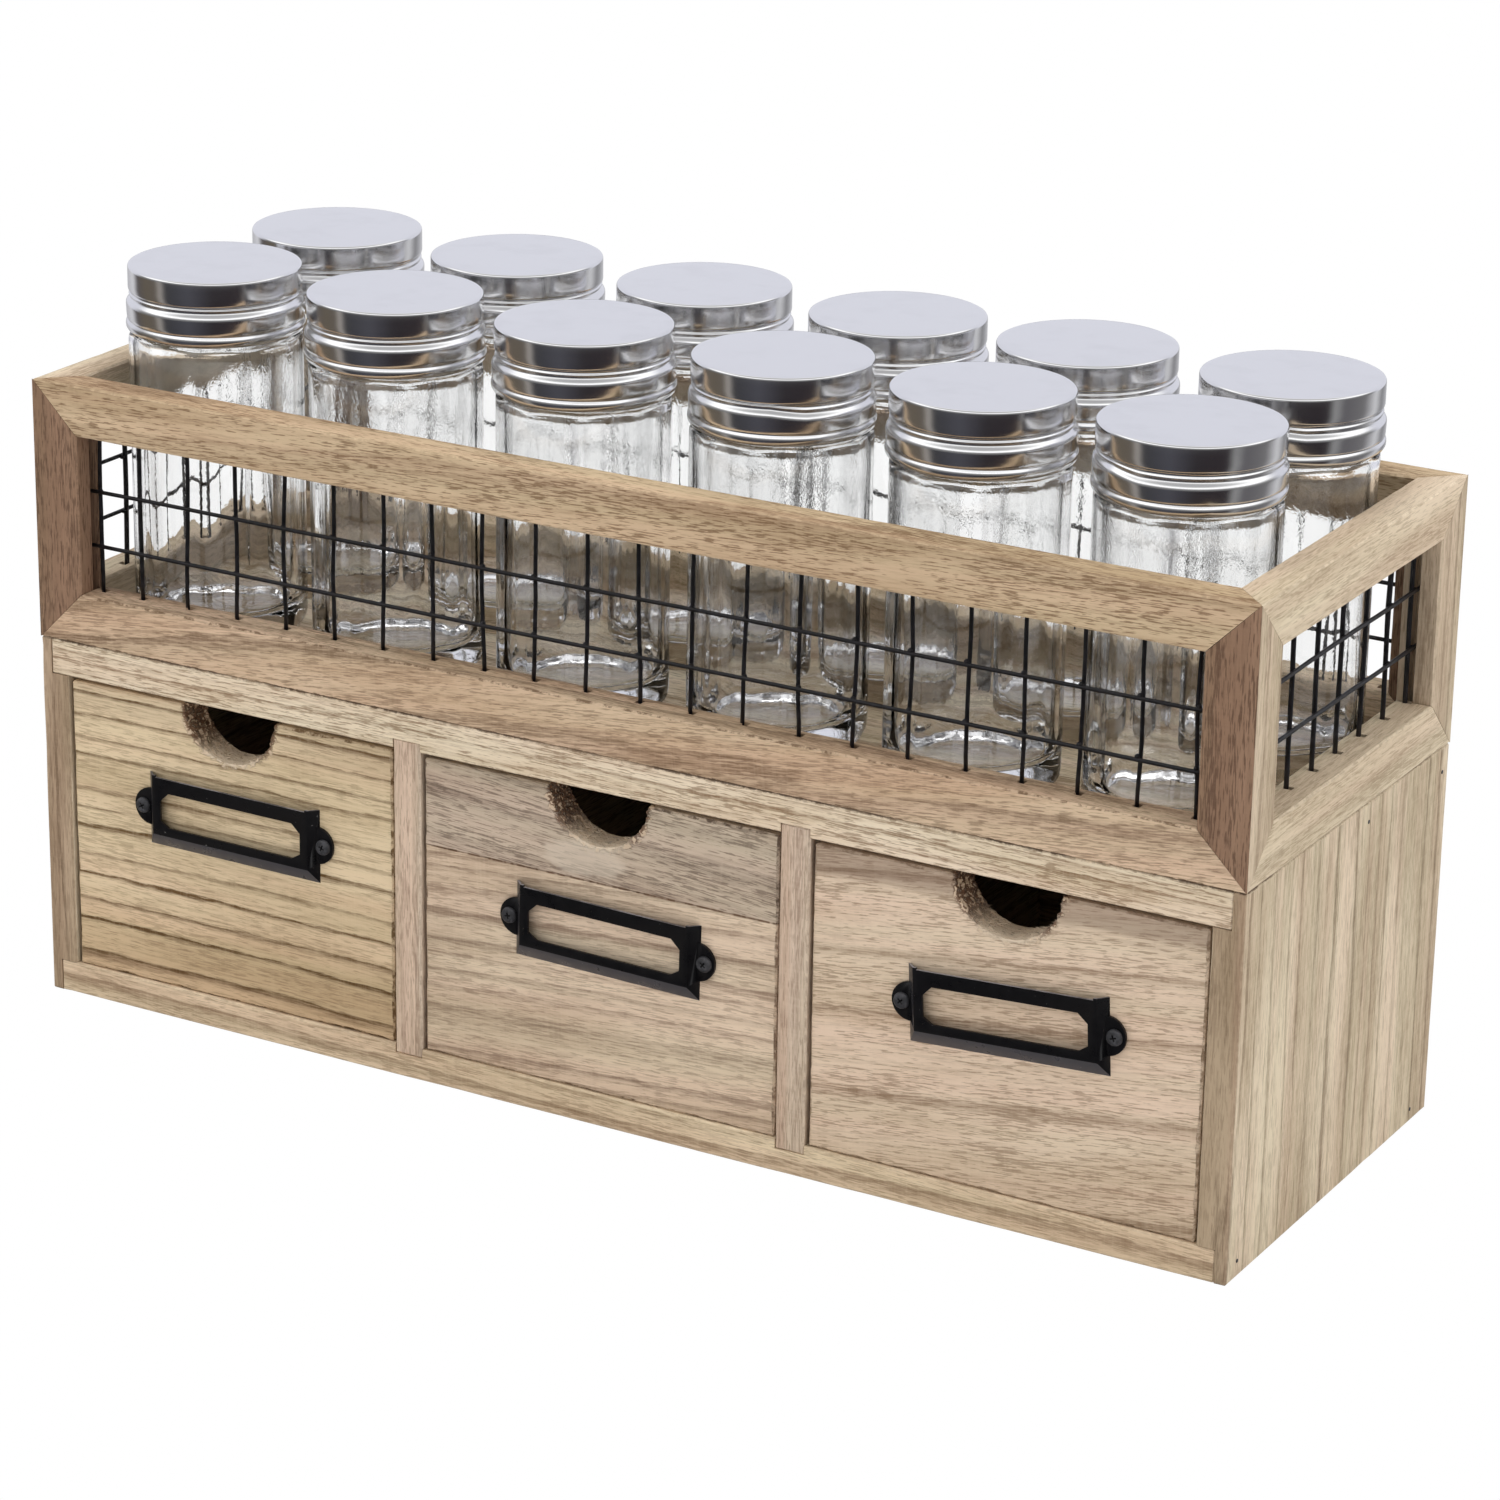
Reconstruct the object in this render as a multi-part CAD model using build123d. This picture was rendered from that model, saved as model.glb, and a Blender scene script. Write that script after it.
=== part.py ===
from build123d import *
import math
import os

# Spice drawer cabinet: a low wooden cabinet with three drawers in one row, and on
# it a mitred tray with wire-mesh sides that holds two rows of screw-lid glass jars.
# Millimetres. The model is drawn from its front bottom left corner (x along the
# front, y going back, z up) and set on its own origin, bottom centre, at the end.

# ---------------------------------------------------------------- driving sizes
# Cabinet carcass. The hand-cut bays grow a little from left to right.
bay_widths = (101.4, 103.4, 105.4)
bay_height = 80.4
depth = 121.0
side_thickness = 8.2
divider_thickness = 8.2
top_thickness = 9.6
bottom_thickness = 8.8
rebate_lip = 3.2           # what is left of a side board outside the rebates
dado_depth = 2.5           # how far a divider is let into the top and bottom boards
back_thickness = 3.0
back_let_in = 4.0          # width of the rebate that the back panel lies in
panel_play = 0.3           # play of a thin panel in its rebate or groove
edge_ease = 0.4            # sanded corner on every board

# Tray: four mitred frames, also mitred to each other at the corners.
tray_height = 69.3
frame_thickness = 9.8
frame_width = 13.5         # face width of rails and stiles
kerf_width = 2.4           # saw kerf round each frame's inner edge, for the mesh
kerf_depth = 4.0
kerf_from_face = 6.4       # centre of the kerf, from the frame's outer face

# Welded wire mesh: crossing wires lie on the uprights and are joined where they touch.
wire_diameter = 1.1
wire_flats = 6
wire_reach = 3.0           # how far the cut wire ends stand in the kerf
cross_pitch = 14.8         # between crossing wires
long_mesh_pitch = 14.9     # between upright wires
end_mesh_pitch = 14.3
long_mesh_start = 2.3      # first upright wire, from the opening's edge
long_mesh_first = 12.3     # from there to the second one: the sheet was cut close to a wire
end_mesh_start = 7.6
long_mesh_low = 11.9       # lowest crossing wire, from the opening's lower edge
end_mesh_low = 14.2

# Drawers: lapped box, bottom panel in grooves, half-moon finger notch.
drawer_side_gap = 0.8
drawer_top_gap = 1.2
drawer_inset = 0.8         # front board behind the carcass's front edges
front_thickness = 9.0
drawer_side_thickness = 6.0
drawer_back_thickness = 6.0
drawer_side_height = 70.0
lap_depth = 4.5            # rebate in the ends of the front board
drawer_bottom_thickness = 3.0
groove_rise = 3.5          # lower edge of the groove above the drawer's underside
groove_depth = 3.0
notch_radius = 14.2
notch_centre_rise = 0.8    # notch centre above the front board's top edge
glued_front = 2            # this drawer's front is glued up from two strips
glue_line_below = 23.0     # its glue line, below the front's top edge

# Label holders: a pressed steel frame with two ears, tilted a little by hand.
holder_length = 50.8
holder_low = 9.3           # lower edge, from the middle of the holder
holder_high = 9.0
holder_stand = 2.4         # how far the frame's face stands off the drawer
holder_sheet = 0.7
flange_slope = 1.3         # how far the side and lower flanges lean out
window_length = 41.0
window_height = 10.4
window_corner = 2.4
ear_radius = 5.0
ear_thickness = 0.8
ear_centre = 26.0          # from the middle of the holder
end_rise = 0.5             # flange ends that stand above the top bar
end_bar = 1.6
# Middle of each holder: across from the drawer's middle, up from its underside, tilt.
holder_places = ((1.1, 49.4, 0.3), (3.0, 42.3, 1.0), (1.4, 46.1, -3.2))

screw_head_radius = 2.1
screw_head_height = 1.1
screw_shank_radius = 0.9
screw_length = 7.0
screw_hole_radius = 1.2
screw_flats = 8
screw_from_middle = 28.2

# Jars: ten-sided glass with a round neck, and a screw lid of sheet metal.
jars_per_row = 6
jar_flats = 10
jar_body_height = 79.2
jar_foot = 2.2             # slope round the foot
jar_shoulder = 2.6
jar_wall = 2.6
jar_base = 6.5
shoulder_step = 3.4        # neck's radius less than the body's
neck_wall = 2.2
neck_height = 17.0
round_flats = 18           # round glass and lids are drawn with this many flats
lid_height = 17.0
lid_top_thickness = 1.0    # sheet and liner
thread_room = 1.1          # between the neck and the lid's inside
lid_wall = 0.9
lid_band_height = 6.9
lid_band_step = 0.7        # band's and curl's radius more than the waist's
lid_curl_step = 1.4
lid_curl_height = 2.9
lid_edge = 0.6
# Rows stand by hand: gaps to the tray's walls and between the rows, a drift across,
# and nudges along the row as shares of the play between two jars.
front_row_ends = (0.5, 3.8)
back_row_ends = (5.2, 0.4)
front_row_gap = 1.4
back_row_gap = 5.7
row_gap = 2.3
front_row_drift = 4.4
back_row_drift = 5.3
front_row_nudge = (0.0, 0.01, 0.08, 0.20, 0.10, 0.0)
back_row_nudge = (0.0, 0.12, 0.26, 0.35, 0.05, 0.0)
front_row_turn = (4.0, 22.0, 13.0, 30.0, 9.0, 18.0)
back_row_turn = (16.0, 2.0, 27.0, 11.0, 33.0, 6.0)

# ---------------------------------------------------------------- worked-out sizes
bays = len(bay_widths)
length = sum(bay_widths) + 2 * side_thickness + (bays - 1) * divider_thickness
cabinet_height = bottom_thickness + bay_height + top_thickness
holder_reach = holder_stand - drawer_inset
total_depth = depth + holder_reach
bay_lefts = [side_thickness + sum(bay_widths[:i]) + i * divider_thickness for i in range(bays)]
divider_lefts = [bay_lefts[i + 1] - divider_thickness for i in range(bays - 1)]
ceiling = bottom_thickness + bay_height
panel_front = depth - back_thickness
jars_across = depth - 2 * frame_thickness - front_row_gap - back_row_gap - row_gap
jar_radius = jars_across / 4   # two rows, to the corners of the ten sides
neck_radius = jar_radius - shoulder_step
lid_waist_radius = neck_radius + thread_room + lid_wall
lid_band_radius = lid_waist_radius + lid_band_step
lid_curl_radius = lid_waist_radius + lid_curl_step
jar_height = jar_body_height + neck_height
lid_bottom = jar_height + lid_top_thickness - lid_height
own_origin = Pos(-length / 2, -total_depth / 2 + holder_reach, 0)

os.makedirs("parts", exist_ok=True)


# ---------------------------------------------------------------- helpers
def block(x0, x1, y0, y1, z0, z1):
    """A plain box between two corners."""
    return Pos((x0 + x1) / 2, (y0 + y1) / 2, (z0 + z1) / 2) * Box(x1 - x0, y1 - y0, z1 - z0)


def board(x0, x1, y0, y1, z0, z1):
    """A sawn board with all its corners sanded."""
    plank = block(x0, x1, y0, y1, z0, z1)
    return chamfer(plank.edges(), edge_ease)


def flat_prism(radius, flats, z0, z1):
    """A round piece drawn with flats, from z0 up to z1."""
    return Pos(0, 0, z0) * extrude(RegularPolygon(radius, flats), amount=z1 - z0)


def save(name, *pieces):
    """Write one node, its pieces as separate solids in the part's own frame."""
    solids = [solid for piece in pieces for solid in (own_origin * piece).solids()]
    node = solids[0] if len(solids) == 1 else Compound(solids)
    export_step(node, f"parts/{name}.step")


# ---------------------------------------------------------------- carcass
def side_board():
    """The left side: rebated top and bottom for the boards, and behind for the back panel."""
    side = board(0, side_thickness, 0, depth, 0, cabinet_height)
    side -= block(rebate_lip, side_thickness, 0, depth, 0, bottom_thickness)
    side -= block(rebate_lip, side_thickness, 0, depth, ceiling, cabinet_height)
    let_in = side_thickness - back_let_in
    side -= block(let_in, side_thickness, panel_front, depth, bottom_thickness, ceiling)
    return side


def flat_board(z0, z1, inner_face, into_board):
    """A top or bottom board; into_board is +1 where the board lies above its inner face."""
    plank = board(rebate_lip, length - rebate_lip, 0, depth, z0, z1)
    dado_floor = inner_face + into_board * dado_depth
    dado_z = sorted((inner_face, dado_floor))
    for left in divider_lefts:
        plank -= block(left, left + divider_thickness, 0, depth, *dado_z)
    rebate_z = sorted((inner_face, inner_face + into_board * back_let_in))
    plank -= block(0, length, panel_front, depth, *rebate_z)
    return plank


def divider(left):
    """An upright between two bays, let into the boards above and below it."""
    low = bottom_thickness - dado_depth
    high = ceiling + dado_depth
    return board(left, left + divider_thickness, 0, panel_front, low, high)


def back_panel():
    inset = side_thickness - back_let_in + panel_play
    low = bottom_thickness - back_let_in + panel_play
    high = ceiling + back_let_in - panel_play
    return block(inset, length - inset, panel_front, depth, low, high)


# ---------------------------------------------------------------- tray
def frame_member(face_outline, run, eased_edges):
    """One rail or stile: its mitred face, cut again by the mitres seen from above."""
    face = Plane.XZ * Polygon(*face_outline, align=None)
    member = extrude(face, amount=-frame_thickness)
    plan_outline = (
        (0, 0),
        (run, 0),
        (run - frame_thickness, frame_thickness),
        (frame_thickness, frame_thickness),
    )
    member &= extrude(Polygon(*plan_outline, align=None), amount=tray_height)
    member = chamfer(eased_edges(member), edge_ease)
    low = frame_width - kerf_depth
    kerf_y = kerf_from_face - kerf_width / 2
    kerf = block(low, run - low, kerf_y, kerf_y + kerf_width, low, tray_height - low)
    return member - kerf


def frame_pieces(run):
    """Bottom rail, top rail, left stile and right stile of a frame of this length."""
    w = frame_width
    h = tray_height

    def long_edges(member):
        return member.edges().filter_by(Axis.X)

    def inner_edges(at_x):
        def pick(member):
            return member.edges().filter_by(Axis.Z).filter_by_position(Axis.X, at_x, at_x)
        return pick

    bottom = frame_member(((0, 0), (run, 0), (run - w, w), (w, w)), run, long_edges)
    top = frame_member(((w, h - w), (run - w, h - w), (run, h), (0, h)), run, long_edges)
    left = frame_member(((0, 0), (w, w), (w, h - w), (0, h)), run, inner_edges(w))
    right_face = ((run, 0), (run, h), (run - w, h - w), (run - w, w))
    right = frame_member(right_face, run, inner_edges(run - w))
    return [bottom, top, left, right]


def wire(direction, start, reach):
    """A straight wire with flats facing front and back."""
    turn = 90 - 180 / wire_flats
    section = RegularPolygon(wire_diameter / 2, wire_flats, major_radius=False, rotation=turn)
    upright = extrude(section, amount=reach)
    if direction == "along":
        upright = Rot(0, 90, 0) * upright
    return Pos(*start) * upright


def mesh_panel(run, start, first, pitch, low_wire):
    """Uprights behind, crossing wires in front, fused where they are welded."""
    opening = run - 2 * frame_width
    height = tray_height - 2 * frame_width
    spread = wire_diameter / 2
    second = start + first
    evenly = [second + i * pitch for i in range(1 + int((opening - second) // pitch))]
    wires = []
    for x in [start] + evenly:
        foot = (frame_width + x, kerf_from_face + spread, frame_width - wire_reach)
        wires.append(wire("up", foot, height + 2 * wire_reach))
    for i in range(1 + int((height - low_wire - wire_diameter) // cross_pitch)):
        z = frame_width + low_wire + i * cross_pitch
        end = (frame_width - wire_reach, kerf_from_face - spread, z)
        wires.append(wire("along", end, opening + 2 * wire_reach))
    return wires[0].fuse(*wires[1:])


# ---------------------------------------------------------------- drawers
def drawer_front(x0, x1, z0, z1):
    """Front board: half-moon notch, lapped ends and a groove for the bottom panel."""
    inner = drawer_inset + front_thickness
    plank = board(x0, x1, drawer_inset, inner, z0, z1)
    lap_y = inner - lap_depth
    plank -= block(x0, x0 + drawer_side_thickness, lap_y, inner, z0, z1)
    plank -= block(x1 - drawer_side_thickness, x1, lap_y, inner, z0, z1)
    groove = z0 + groove_rise
    plank -= block(x0, x1, inner - groove_depth, inner, groove, groove + drawer_bottom_thickness)
    cutter = Rot(90, 0, 0) * Cylinder(notch_radius, 4 * front_thickness)
    return plank - Pos((x0 + x1) / 2, inner, z1 + notch_centre_rise) * cutter


def glued_strips(front, z1):
    """The same front as an upper and a lower strip that meet at the glue line."""
    line = z1 - glue_line_below
    above = block(0, length, 0, depth, line, z1)
    return front & above, front - above


def drawer_sides(x0, x1, z0):
    """The two sides, grooved for the bottom panel."""
    front_end = drawer_inset + front_thickness - lap_depth
    groove = z0 + groove_rise
    inner = x0 + drawer_side_thickness
    left = board(x0, inner, front_end, panel_front, z0, z0 + drawer_side_height)
    left -= block(
        inner - groove_depth, inner, front_end, panel_front,
        groove, groove + drawer_bottom_thickness,
    )
    right = mirror(left, about=Plane.YZ.offset((x0 + x1) / 2))
    return left, right


def drawer_back(x0, x1, z0):
    """The back stands on the bottom panel, between the sides."""
    low = z0 + groove_rise + drawer_bottom_thickness
    x0 += drawer_side_thickness
    x1 -= drawer_side_thickness
    return board(x0, x1, panel_front - drawer_back_thickness, panel_front, low,
                 z0 + drawer_side_height)


def drawer_bottom(x0, x1, z0):
    low = z0 + groove_rise
    inset = drawer_side_thickness - groove_depth + panel_play
    front_end = drawer_inset + front_thickness - groove_depth + panel_play
    return block(x0 + inset, x1 - inset, front_end, panel_front, low,
                 low + drawer_bottom_thickness)


def label_holder():
    """Drawn flat, facing up: a sloping pressed frame, open above for the card."""
    half = holder_length / 2
    base = Polygon((-half, -holder_low), (half, -holder_low), (half, holder_high),
                   (-half, holder_high), align=None)
    lean = math.degrees(math.atan(flange_slope / holder_stand))
    tall = holder_high + flange_slope + end_rise
    frame = extrude(
        Polygon((-half, -holder_low), (half, -holder_low), (half, tall), (-half, tall), align=None),
        amount=holder_stand, taper=lean)
    pocket_half = half - holder_sheet
    pocket = extrude(
        Polygon((-pocket_half, -holder_low + holder_sheet), (pocket_half, -holder_low + holder_sheet),
                (pocket_half, 2 * tall), (-pocket_half, 2 * tall), align=None),
        amount=holder_stand - holder_sheet, taper=lean)
    top_bar = half - flange_slope - end_bar
    frame -= pocket
    frame -= block(-half, half, holder_high + end_rise, 2 * tall, 0, holder_stand)
    frame -= block(-top_bar, top_bar, holder_high, 2 * tall, 0, holder_stand)
    window = Rectangle(window_length, window_height)
    window = chamfer(window.vertices(), window_corner)
    frame -= extrude(window, amount=holder_stand)
    for side in (-1, 1):
        ear = extrude(Pos(side * ear_centre, 0) * Circle(ear_radius), amount=ear_thickness)
        clear = half - holder_sheet / 2
        ear -= block(-clear, clear, -ear_radius, ear_radius, 0, ear_thickness)
        hole = flat_prism(screw_hole_radius, screw_flats, 0, ear_thickness)
        frame += ear - Pos(side * screw_from_middle, 0, 0) * hole
    return frame


def label_screws():
    """Two pan-head wood screws, standing on the ears."""
    top = ear_thickness + screw_head_height
    head = flat_prism(screw_head_radius, screw_flats, ear_thickness, top)
    head = chamfer(head.faces().sort_by(Axis.Z)[-1].edges(), screw_head_height / 2)
    shank_end = ear_thickness - screw_length
    shank = flat_prism(screw_shank_radius, screw_flats, shank_end, ear_thickness)
    screw = head + shank
    return [Pos(side * screw_from_middle, 0, 0) * screw for side in (-1, 1)]


# ---------------------------------------------------------------- jars and lids
def glass_jar():
    """Ten-sided body, sloped at foot and shoulder, with a round neck; hollow and open."""
    body = flat_prism(jar_radius, jar_flats, 0, jar_body_height)
    body = chamfer(body.faces().sort_by(Axis.Z)[0].edges(), jar_foot)
    body = chamfer(body.faces().sort_by(Axis.Z)[-1].edges(), jar_shoulder)
    body += flat_prism(neck_radius, round_flats, jar_body_height, jar_height)
    cavity_top = jar_body_height - jar_wall
    cavity = flat_prism(jar_radius - jar_wall, jar_flats, jar_base, cavity_top)
    bore = flat_prism(neck_radius - neck_wall, round_flats, cavity_top, jar_height)
    return body - cavity - bore


def screw_lid():
    """Smooth band above, waist over the neck, curled foot."""
    waist_low = lid_curl_height
    band_low = lid_height - lid_band_height
    curl = flat_prism(lid_curl_radius, round_flats, 0, waist_low)
    curl = chamfer(curl.faces().sort_by(Axis.Z)[-1].edges(), lid_edge)
    waist = flat_prism(lid_waist_radius, round_flats, 0, band_low)
    band = flat_prism(lid_band_radius, round_flats, band_low, lid_height)
    band = chamfer(band.faces().sort_by(Axis.Z)[-1].edges(), lid_edge)
    lid = curl + waist + band
    hollow = flat_prism(lid_waist_radius - lid_wall, round_flats, 0, lid_height - lid_top_thickness)
    return lid - hollow


def row_places(row):
    """Centre and turn of each jar in the front or back row."""
    front = row == "front"
    ends = front_row_ends if front else back_row_ends
    nudge = front_row_nudge if front else back_row_nudge
    turn = front_row_turn if front else back_row_turn
    first = frame_thickness + ends[0] + jar_radius
    last = length - frame_thickness - ends[1] - jar_radius
    play = (last - first) / (jars_per_row - 1) - 2 * jar_radius
    places = []
    for i in range(jars_per_row):
        share = i / (jars_per_row - 1)
        x = first + (last - first) * share + nudge[i] * play
        if front:
            y = frame_thickness + front_row_gap + jar_radius + front_row_drift * share
        else:
            y = depth - frame_thickness - back_row_gap - jar_radius + back_row_drift * share
        places.append((x, y, turn[i]))
    return places


# ---------------------------------------------------------------- write the nodes
def write_carcass():
    left = side_board()
    save("cabinet_left_side", left)
    save("cabinet_right_side", mirror(left, about=Plane.YZ.offset(length / 2)))
    save("cabinet_bottom", flat_board(0, bottom_thickness, bottom_thickness, -1))
    save("cabinet_top", flat_board(ceiling, cabinet_height, ceiling, 1))
    save("cabinet_back", back_panel())
    save("cabinet_dividers", *[divider(left) for left in divider_lefts])


def write_tray():
    on_cabinet = Pos(0, 0, cabinet_height)
    places = {
        "front": on_cabinet,
        "back": on_cabinet * Pos(length, depth, 0) * Rot(0, 0, 180),
        "left": on_cabinet * Pos(0, depth, 0) * Rot(0, 0, -90),
        "right": on_cabinet * Pos(length, 0, 0) * Rot(0, 0, 90),
    }
    long_pieces = frame_pieces(length)
    end_pieces = frame_pieces(depth)
    long_mesh = mesh_panel(
        length, long_mesh_start, long_mesh_first, long_mesh_pitch, long_mesh_low,
    )
    end_mesh = mesh_panel(depth, end_mesh_start, end_mesh_pitch, end_mesh_pitch, end_mesh_low)
    long_stiles = []
    end_stiles = []
    for name, place in places.items():
        if name in ("front", "back"):
            bottom, top, *stiles = [place * piece for piece in long_pieces]
            save(f"tray_{name}_bottom_rail", bottom)
            save(f"tray_{name}_top_rail", top)
            save(f"tray_{name}_mesh", place * long_mesh)
            long_stiles += stiles
        else:
            bottom, top, *stiles = [place * piece for piece in end_pieces]
            save(f"tray_{name}_rails", bottom, top)
            save(f"tray_{name}_mesh", place * end_mesh)
            end_stiles += stiles
    save("tray_long_stiles", *long_stiles)
    save("tray_end_stiles", *end_stiles)


def write_drawers():
    holder = label_holder()
    screws = label_screws()
    z0 = bottom_thickness
    z1 = ceiling - drawer_top_gap
    for i, (left, width) in enumerate(zip(bay_lefts, bay_widths)):
        x0 = left + drawer_side_gap
        x1 = left + width - drawer_side_gap
        name = f"drawer_{i + 1}"
        across, up, tilt = holder_places[i]
        on_front = Pos((x0 + x1) / 2 + across, drawer_inset, z0 + up) * Rot(90, 0, 0)
        on_front = on_front * Rot(0, 0, -tilt)
        front = drawer_front(x0, x1, z0, z1)
        strips = glued_strips(front, z1) if i + 1 == glued_front else [front]
        save(f"{name}_front", *strips)
        save(f"{name}_sides", *drawer_sides(x0, x1, z0))
        save(f"{name}_back", drawer_back(x0, x1, z0))
        save(f"{name}_bottom", drawer_bottom(x0, x1, z0))
        save(f"{name}_label_holder", on_front * holder)
        save(f"{name}_label_screws", *[on_front * screw for screw in screws])


def write_jars():
    jar = glass_jar()
    lid = screw_lid()
    for row in ("front", "back"):
        for i, (x, y, turn) in enumerate(row_places(row)):
            place = Pos(x, y, cabinet_height) * Rot(0, 0, turn)
            save(f"jar_{row}_{i + 1}", place * jar)
            save(f"lid_{row}_{i + 1}", place * Pos(0, 0, lid_bottom) * lid)


write_carcass()
write_tray()
write_drawers()
write_jars()
print("length", round(length, 2), "depth", round(total_depth, 2))
print("height to the lids", round(cabinet_height + jar_height + lid_top_thickness, 2))
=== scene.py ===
# %% [markdown]
# # Spice drawer cabinet
#
# A small paulownia cabinet with three drawers, a mitred tray with wire-mesh sides on
# top of it, and twelve screw-lid glass jars in the tray. The solids come packed and
# to size. This lesson dresses them: wood grain that runs along every board, worn
# corners, bent black wire, thick pressed glass and polished lids.
#
# Everything is in metres, in the solids' own frame: the origin is at the middle of
# the underside, x runs along the front, y to the back and z up.

# %% Load the solids
import math

import bmesh
import bpy
from mathutils import Matrix, Vector, noise


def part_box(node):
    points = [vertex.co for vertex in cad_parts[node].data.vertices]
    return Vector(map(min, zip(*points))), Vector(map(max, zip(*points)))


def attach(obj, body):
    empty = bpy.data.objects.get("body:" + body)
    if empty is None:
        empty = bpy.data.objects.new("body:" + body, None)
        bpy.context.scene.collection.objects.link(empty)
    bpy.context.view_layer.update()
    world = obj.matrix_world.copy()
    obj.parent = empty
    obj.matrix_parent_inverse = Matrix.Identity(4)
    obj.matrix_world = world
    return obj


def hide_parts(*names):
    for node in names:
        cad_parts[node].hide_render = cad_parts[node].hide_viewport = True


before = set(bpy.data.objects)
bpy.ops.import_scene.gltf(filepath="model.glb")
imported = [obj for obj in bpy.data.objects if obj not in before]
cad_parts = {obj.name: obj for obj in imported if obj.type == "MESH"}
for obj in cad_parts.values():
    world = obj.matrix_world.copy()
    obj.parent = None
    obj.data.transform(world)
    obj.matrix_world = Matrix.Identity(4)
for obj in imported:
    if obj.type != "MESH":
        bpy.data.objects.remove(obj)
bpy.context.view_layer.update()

mm = 0.001

# %% [markdown]
# ## Camera
#
# The camera stands to the right of the front and looks down on the tray from about
# 20 degrees. A long lens keeps the uprights nearly parallel, as in a catalogue
# picture. Its place, aim and lens were worked out from the corners of the cabinet.

# %% Camera
camera_place = Vector((0.5847, -1.0179, 0.5078))
camera_aim = Vector((0.0078, -0.0013, 0.0842))
camera_lens = 117.6
camera_roll = math.radians(0.96)


def link(thing):
    """Puts an object in the scene."""
    bpy.context.scene.collection.objects.link(thing)
    return thing


def facing(way, axis="Z"):
    """The turn that points an axis along a way."""
    return way.to_track_quat(axis, "Y").to_matrix().to_4x4()


camera_data = bpy.data.cameras.new("camera")
camera_data.lens = camera_lens
camera = link(bpy.data.objects.new("camera", camera_data))
roll = Matrix.Rotation(camera_roll, 4, "Z")
camera.matrix_world = Matrix.Translation(camera_place) @ facing(camera_aim - camera_place, "-Z") @ roll
bpy.context.scene.camera = camera
print("camera", round((camera_aim - camera_place).length, 3), "m from its aim")

# %% [markdown]
# ## Building materials in code
#
# A shader is a graph of nodes. A node's output is kept as a wire, and wires can be
# added and multiplied like numbers: each sum adds a Math node. Colours are written
# as they look on a screen and turned into the linear values that the renderer uses.

# %% Wires
def paint(red, green, blue):
    """A colour as seen on a screen, 0 to 255, made linear."""
    def linear(value):
        share = value / 255
        return share / 12.92 if share <= 0.04045 else ((share + 0.055) / 1.055) ** 2.4
    return (linear(red), linear(green), linear(blue), 1.0)


class Wire:
    """A node's output, to be used in sums and as another node's input."""

    def __init__(self, graph, socket):
        self.graph, self.socket = graph, socket

    def math(self, operation, *values, clamp=False):
        inputs = dict(enumerate((self, *values)))
        return self.graph.add("Math", inputs, operation=operation, use_clamp=clamp)

    def __add__(self, value):
        return self.math("ADD", value)

    def __sub__(self, value):
        return self.math("SUBTRACT", value)

    def __rsub__(self, value):
        return self * -1.0 + value

    def __mul__(self, value):
        return self.math("MULTIPLY", value)

    def __truediv__(self, value):
        return self.math("DIVIDE", value)

    def __abs__(self):
        return self.math("ABSOLUTE")

    def times(self, value):
        """The product, kept between 0 and 1."""
        return self.math("MULTIPLY", value, clamp=True)

    def remap(self, low, high, to_low=0.0, to_high=1.0, kind="SMOOTHSTEP"):
        """Its place between low and high, eased at both ends."""
        inputs = {"Value": self, "From Min": low, "From Max": high, "To Min": to_low, "To Max": to_high}
        return self.graph.add("MapRange", inputs, interpolation_type=kind)


# %% [markdown]
# A graph adds nodes, and fills their inputs with numbers or with wires. Most patterns
# are noise in the object's own coordinates, drawn out along one of its axes.

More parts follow.
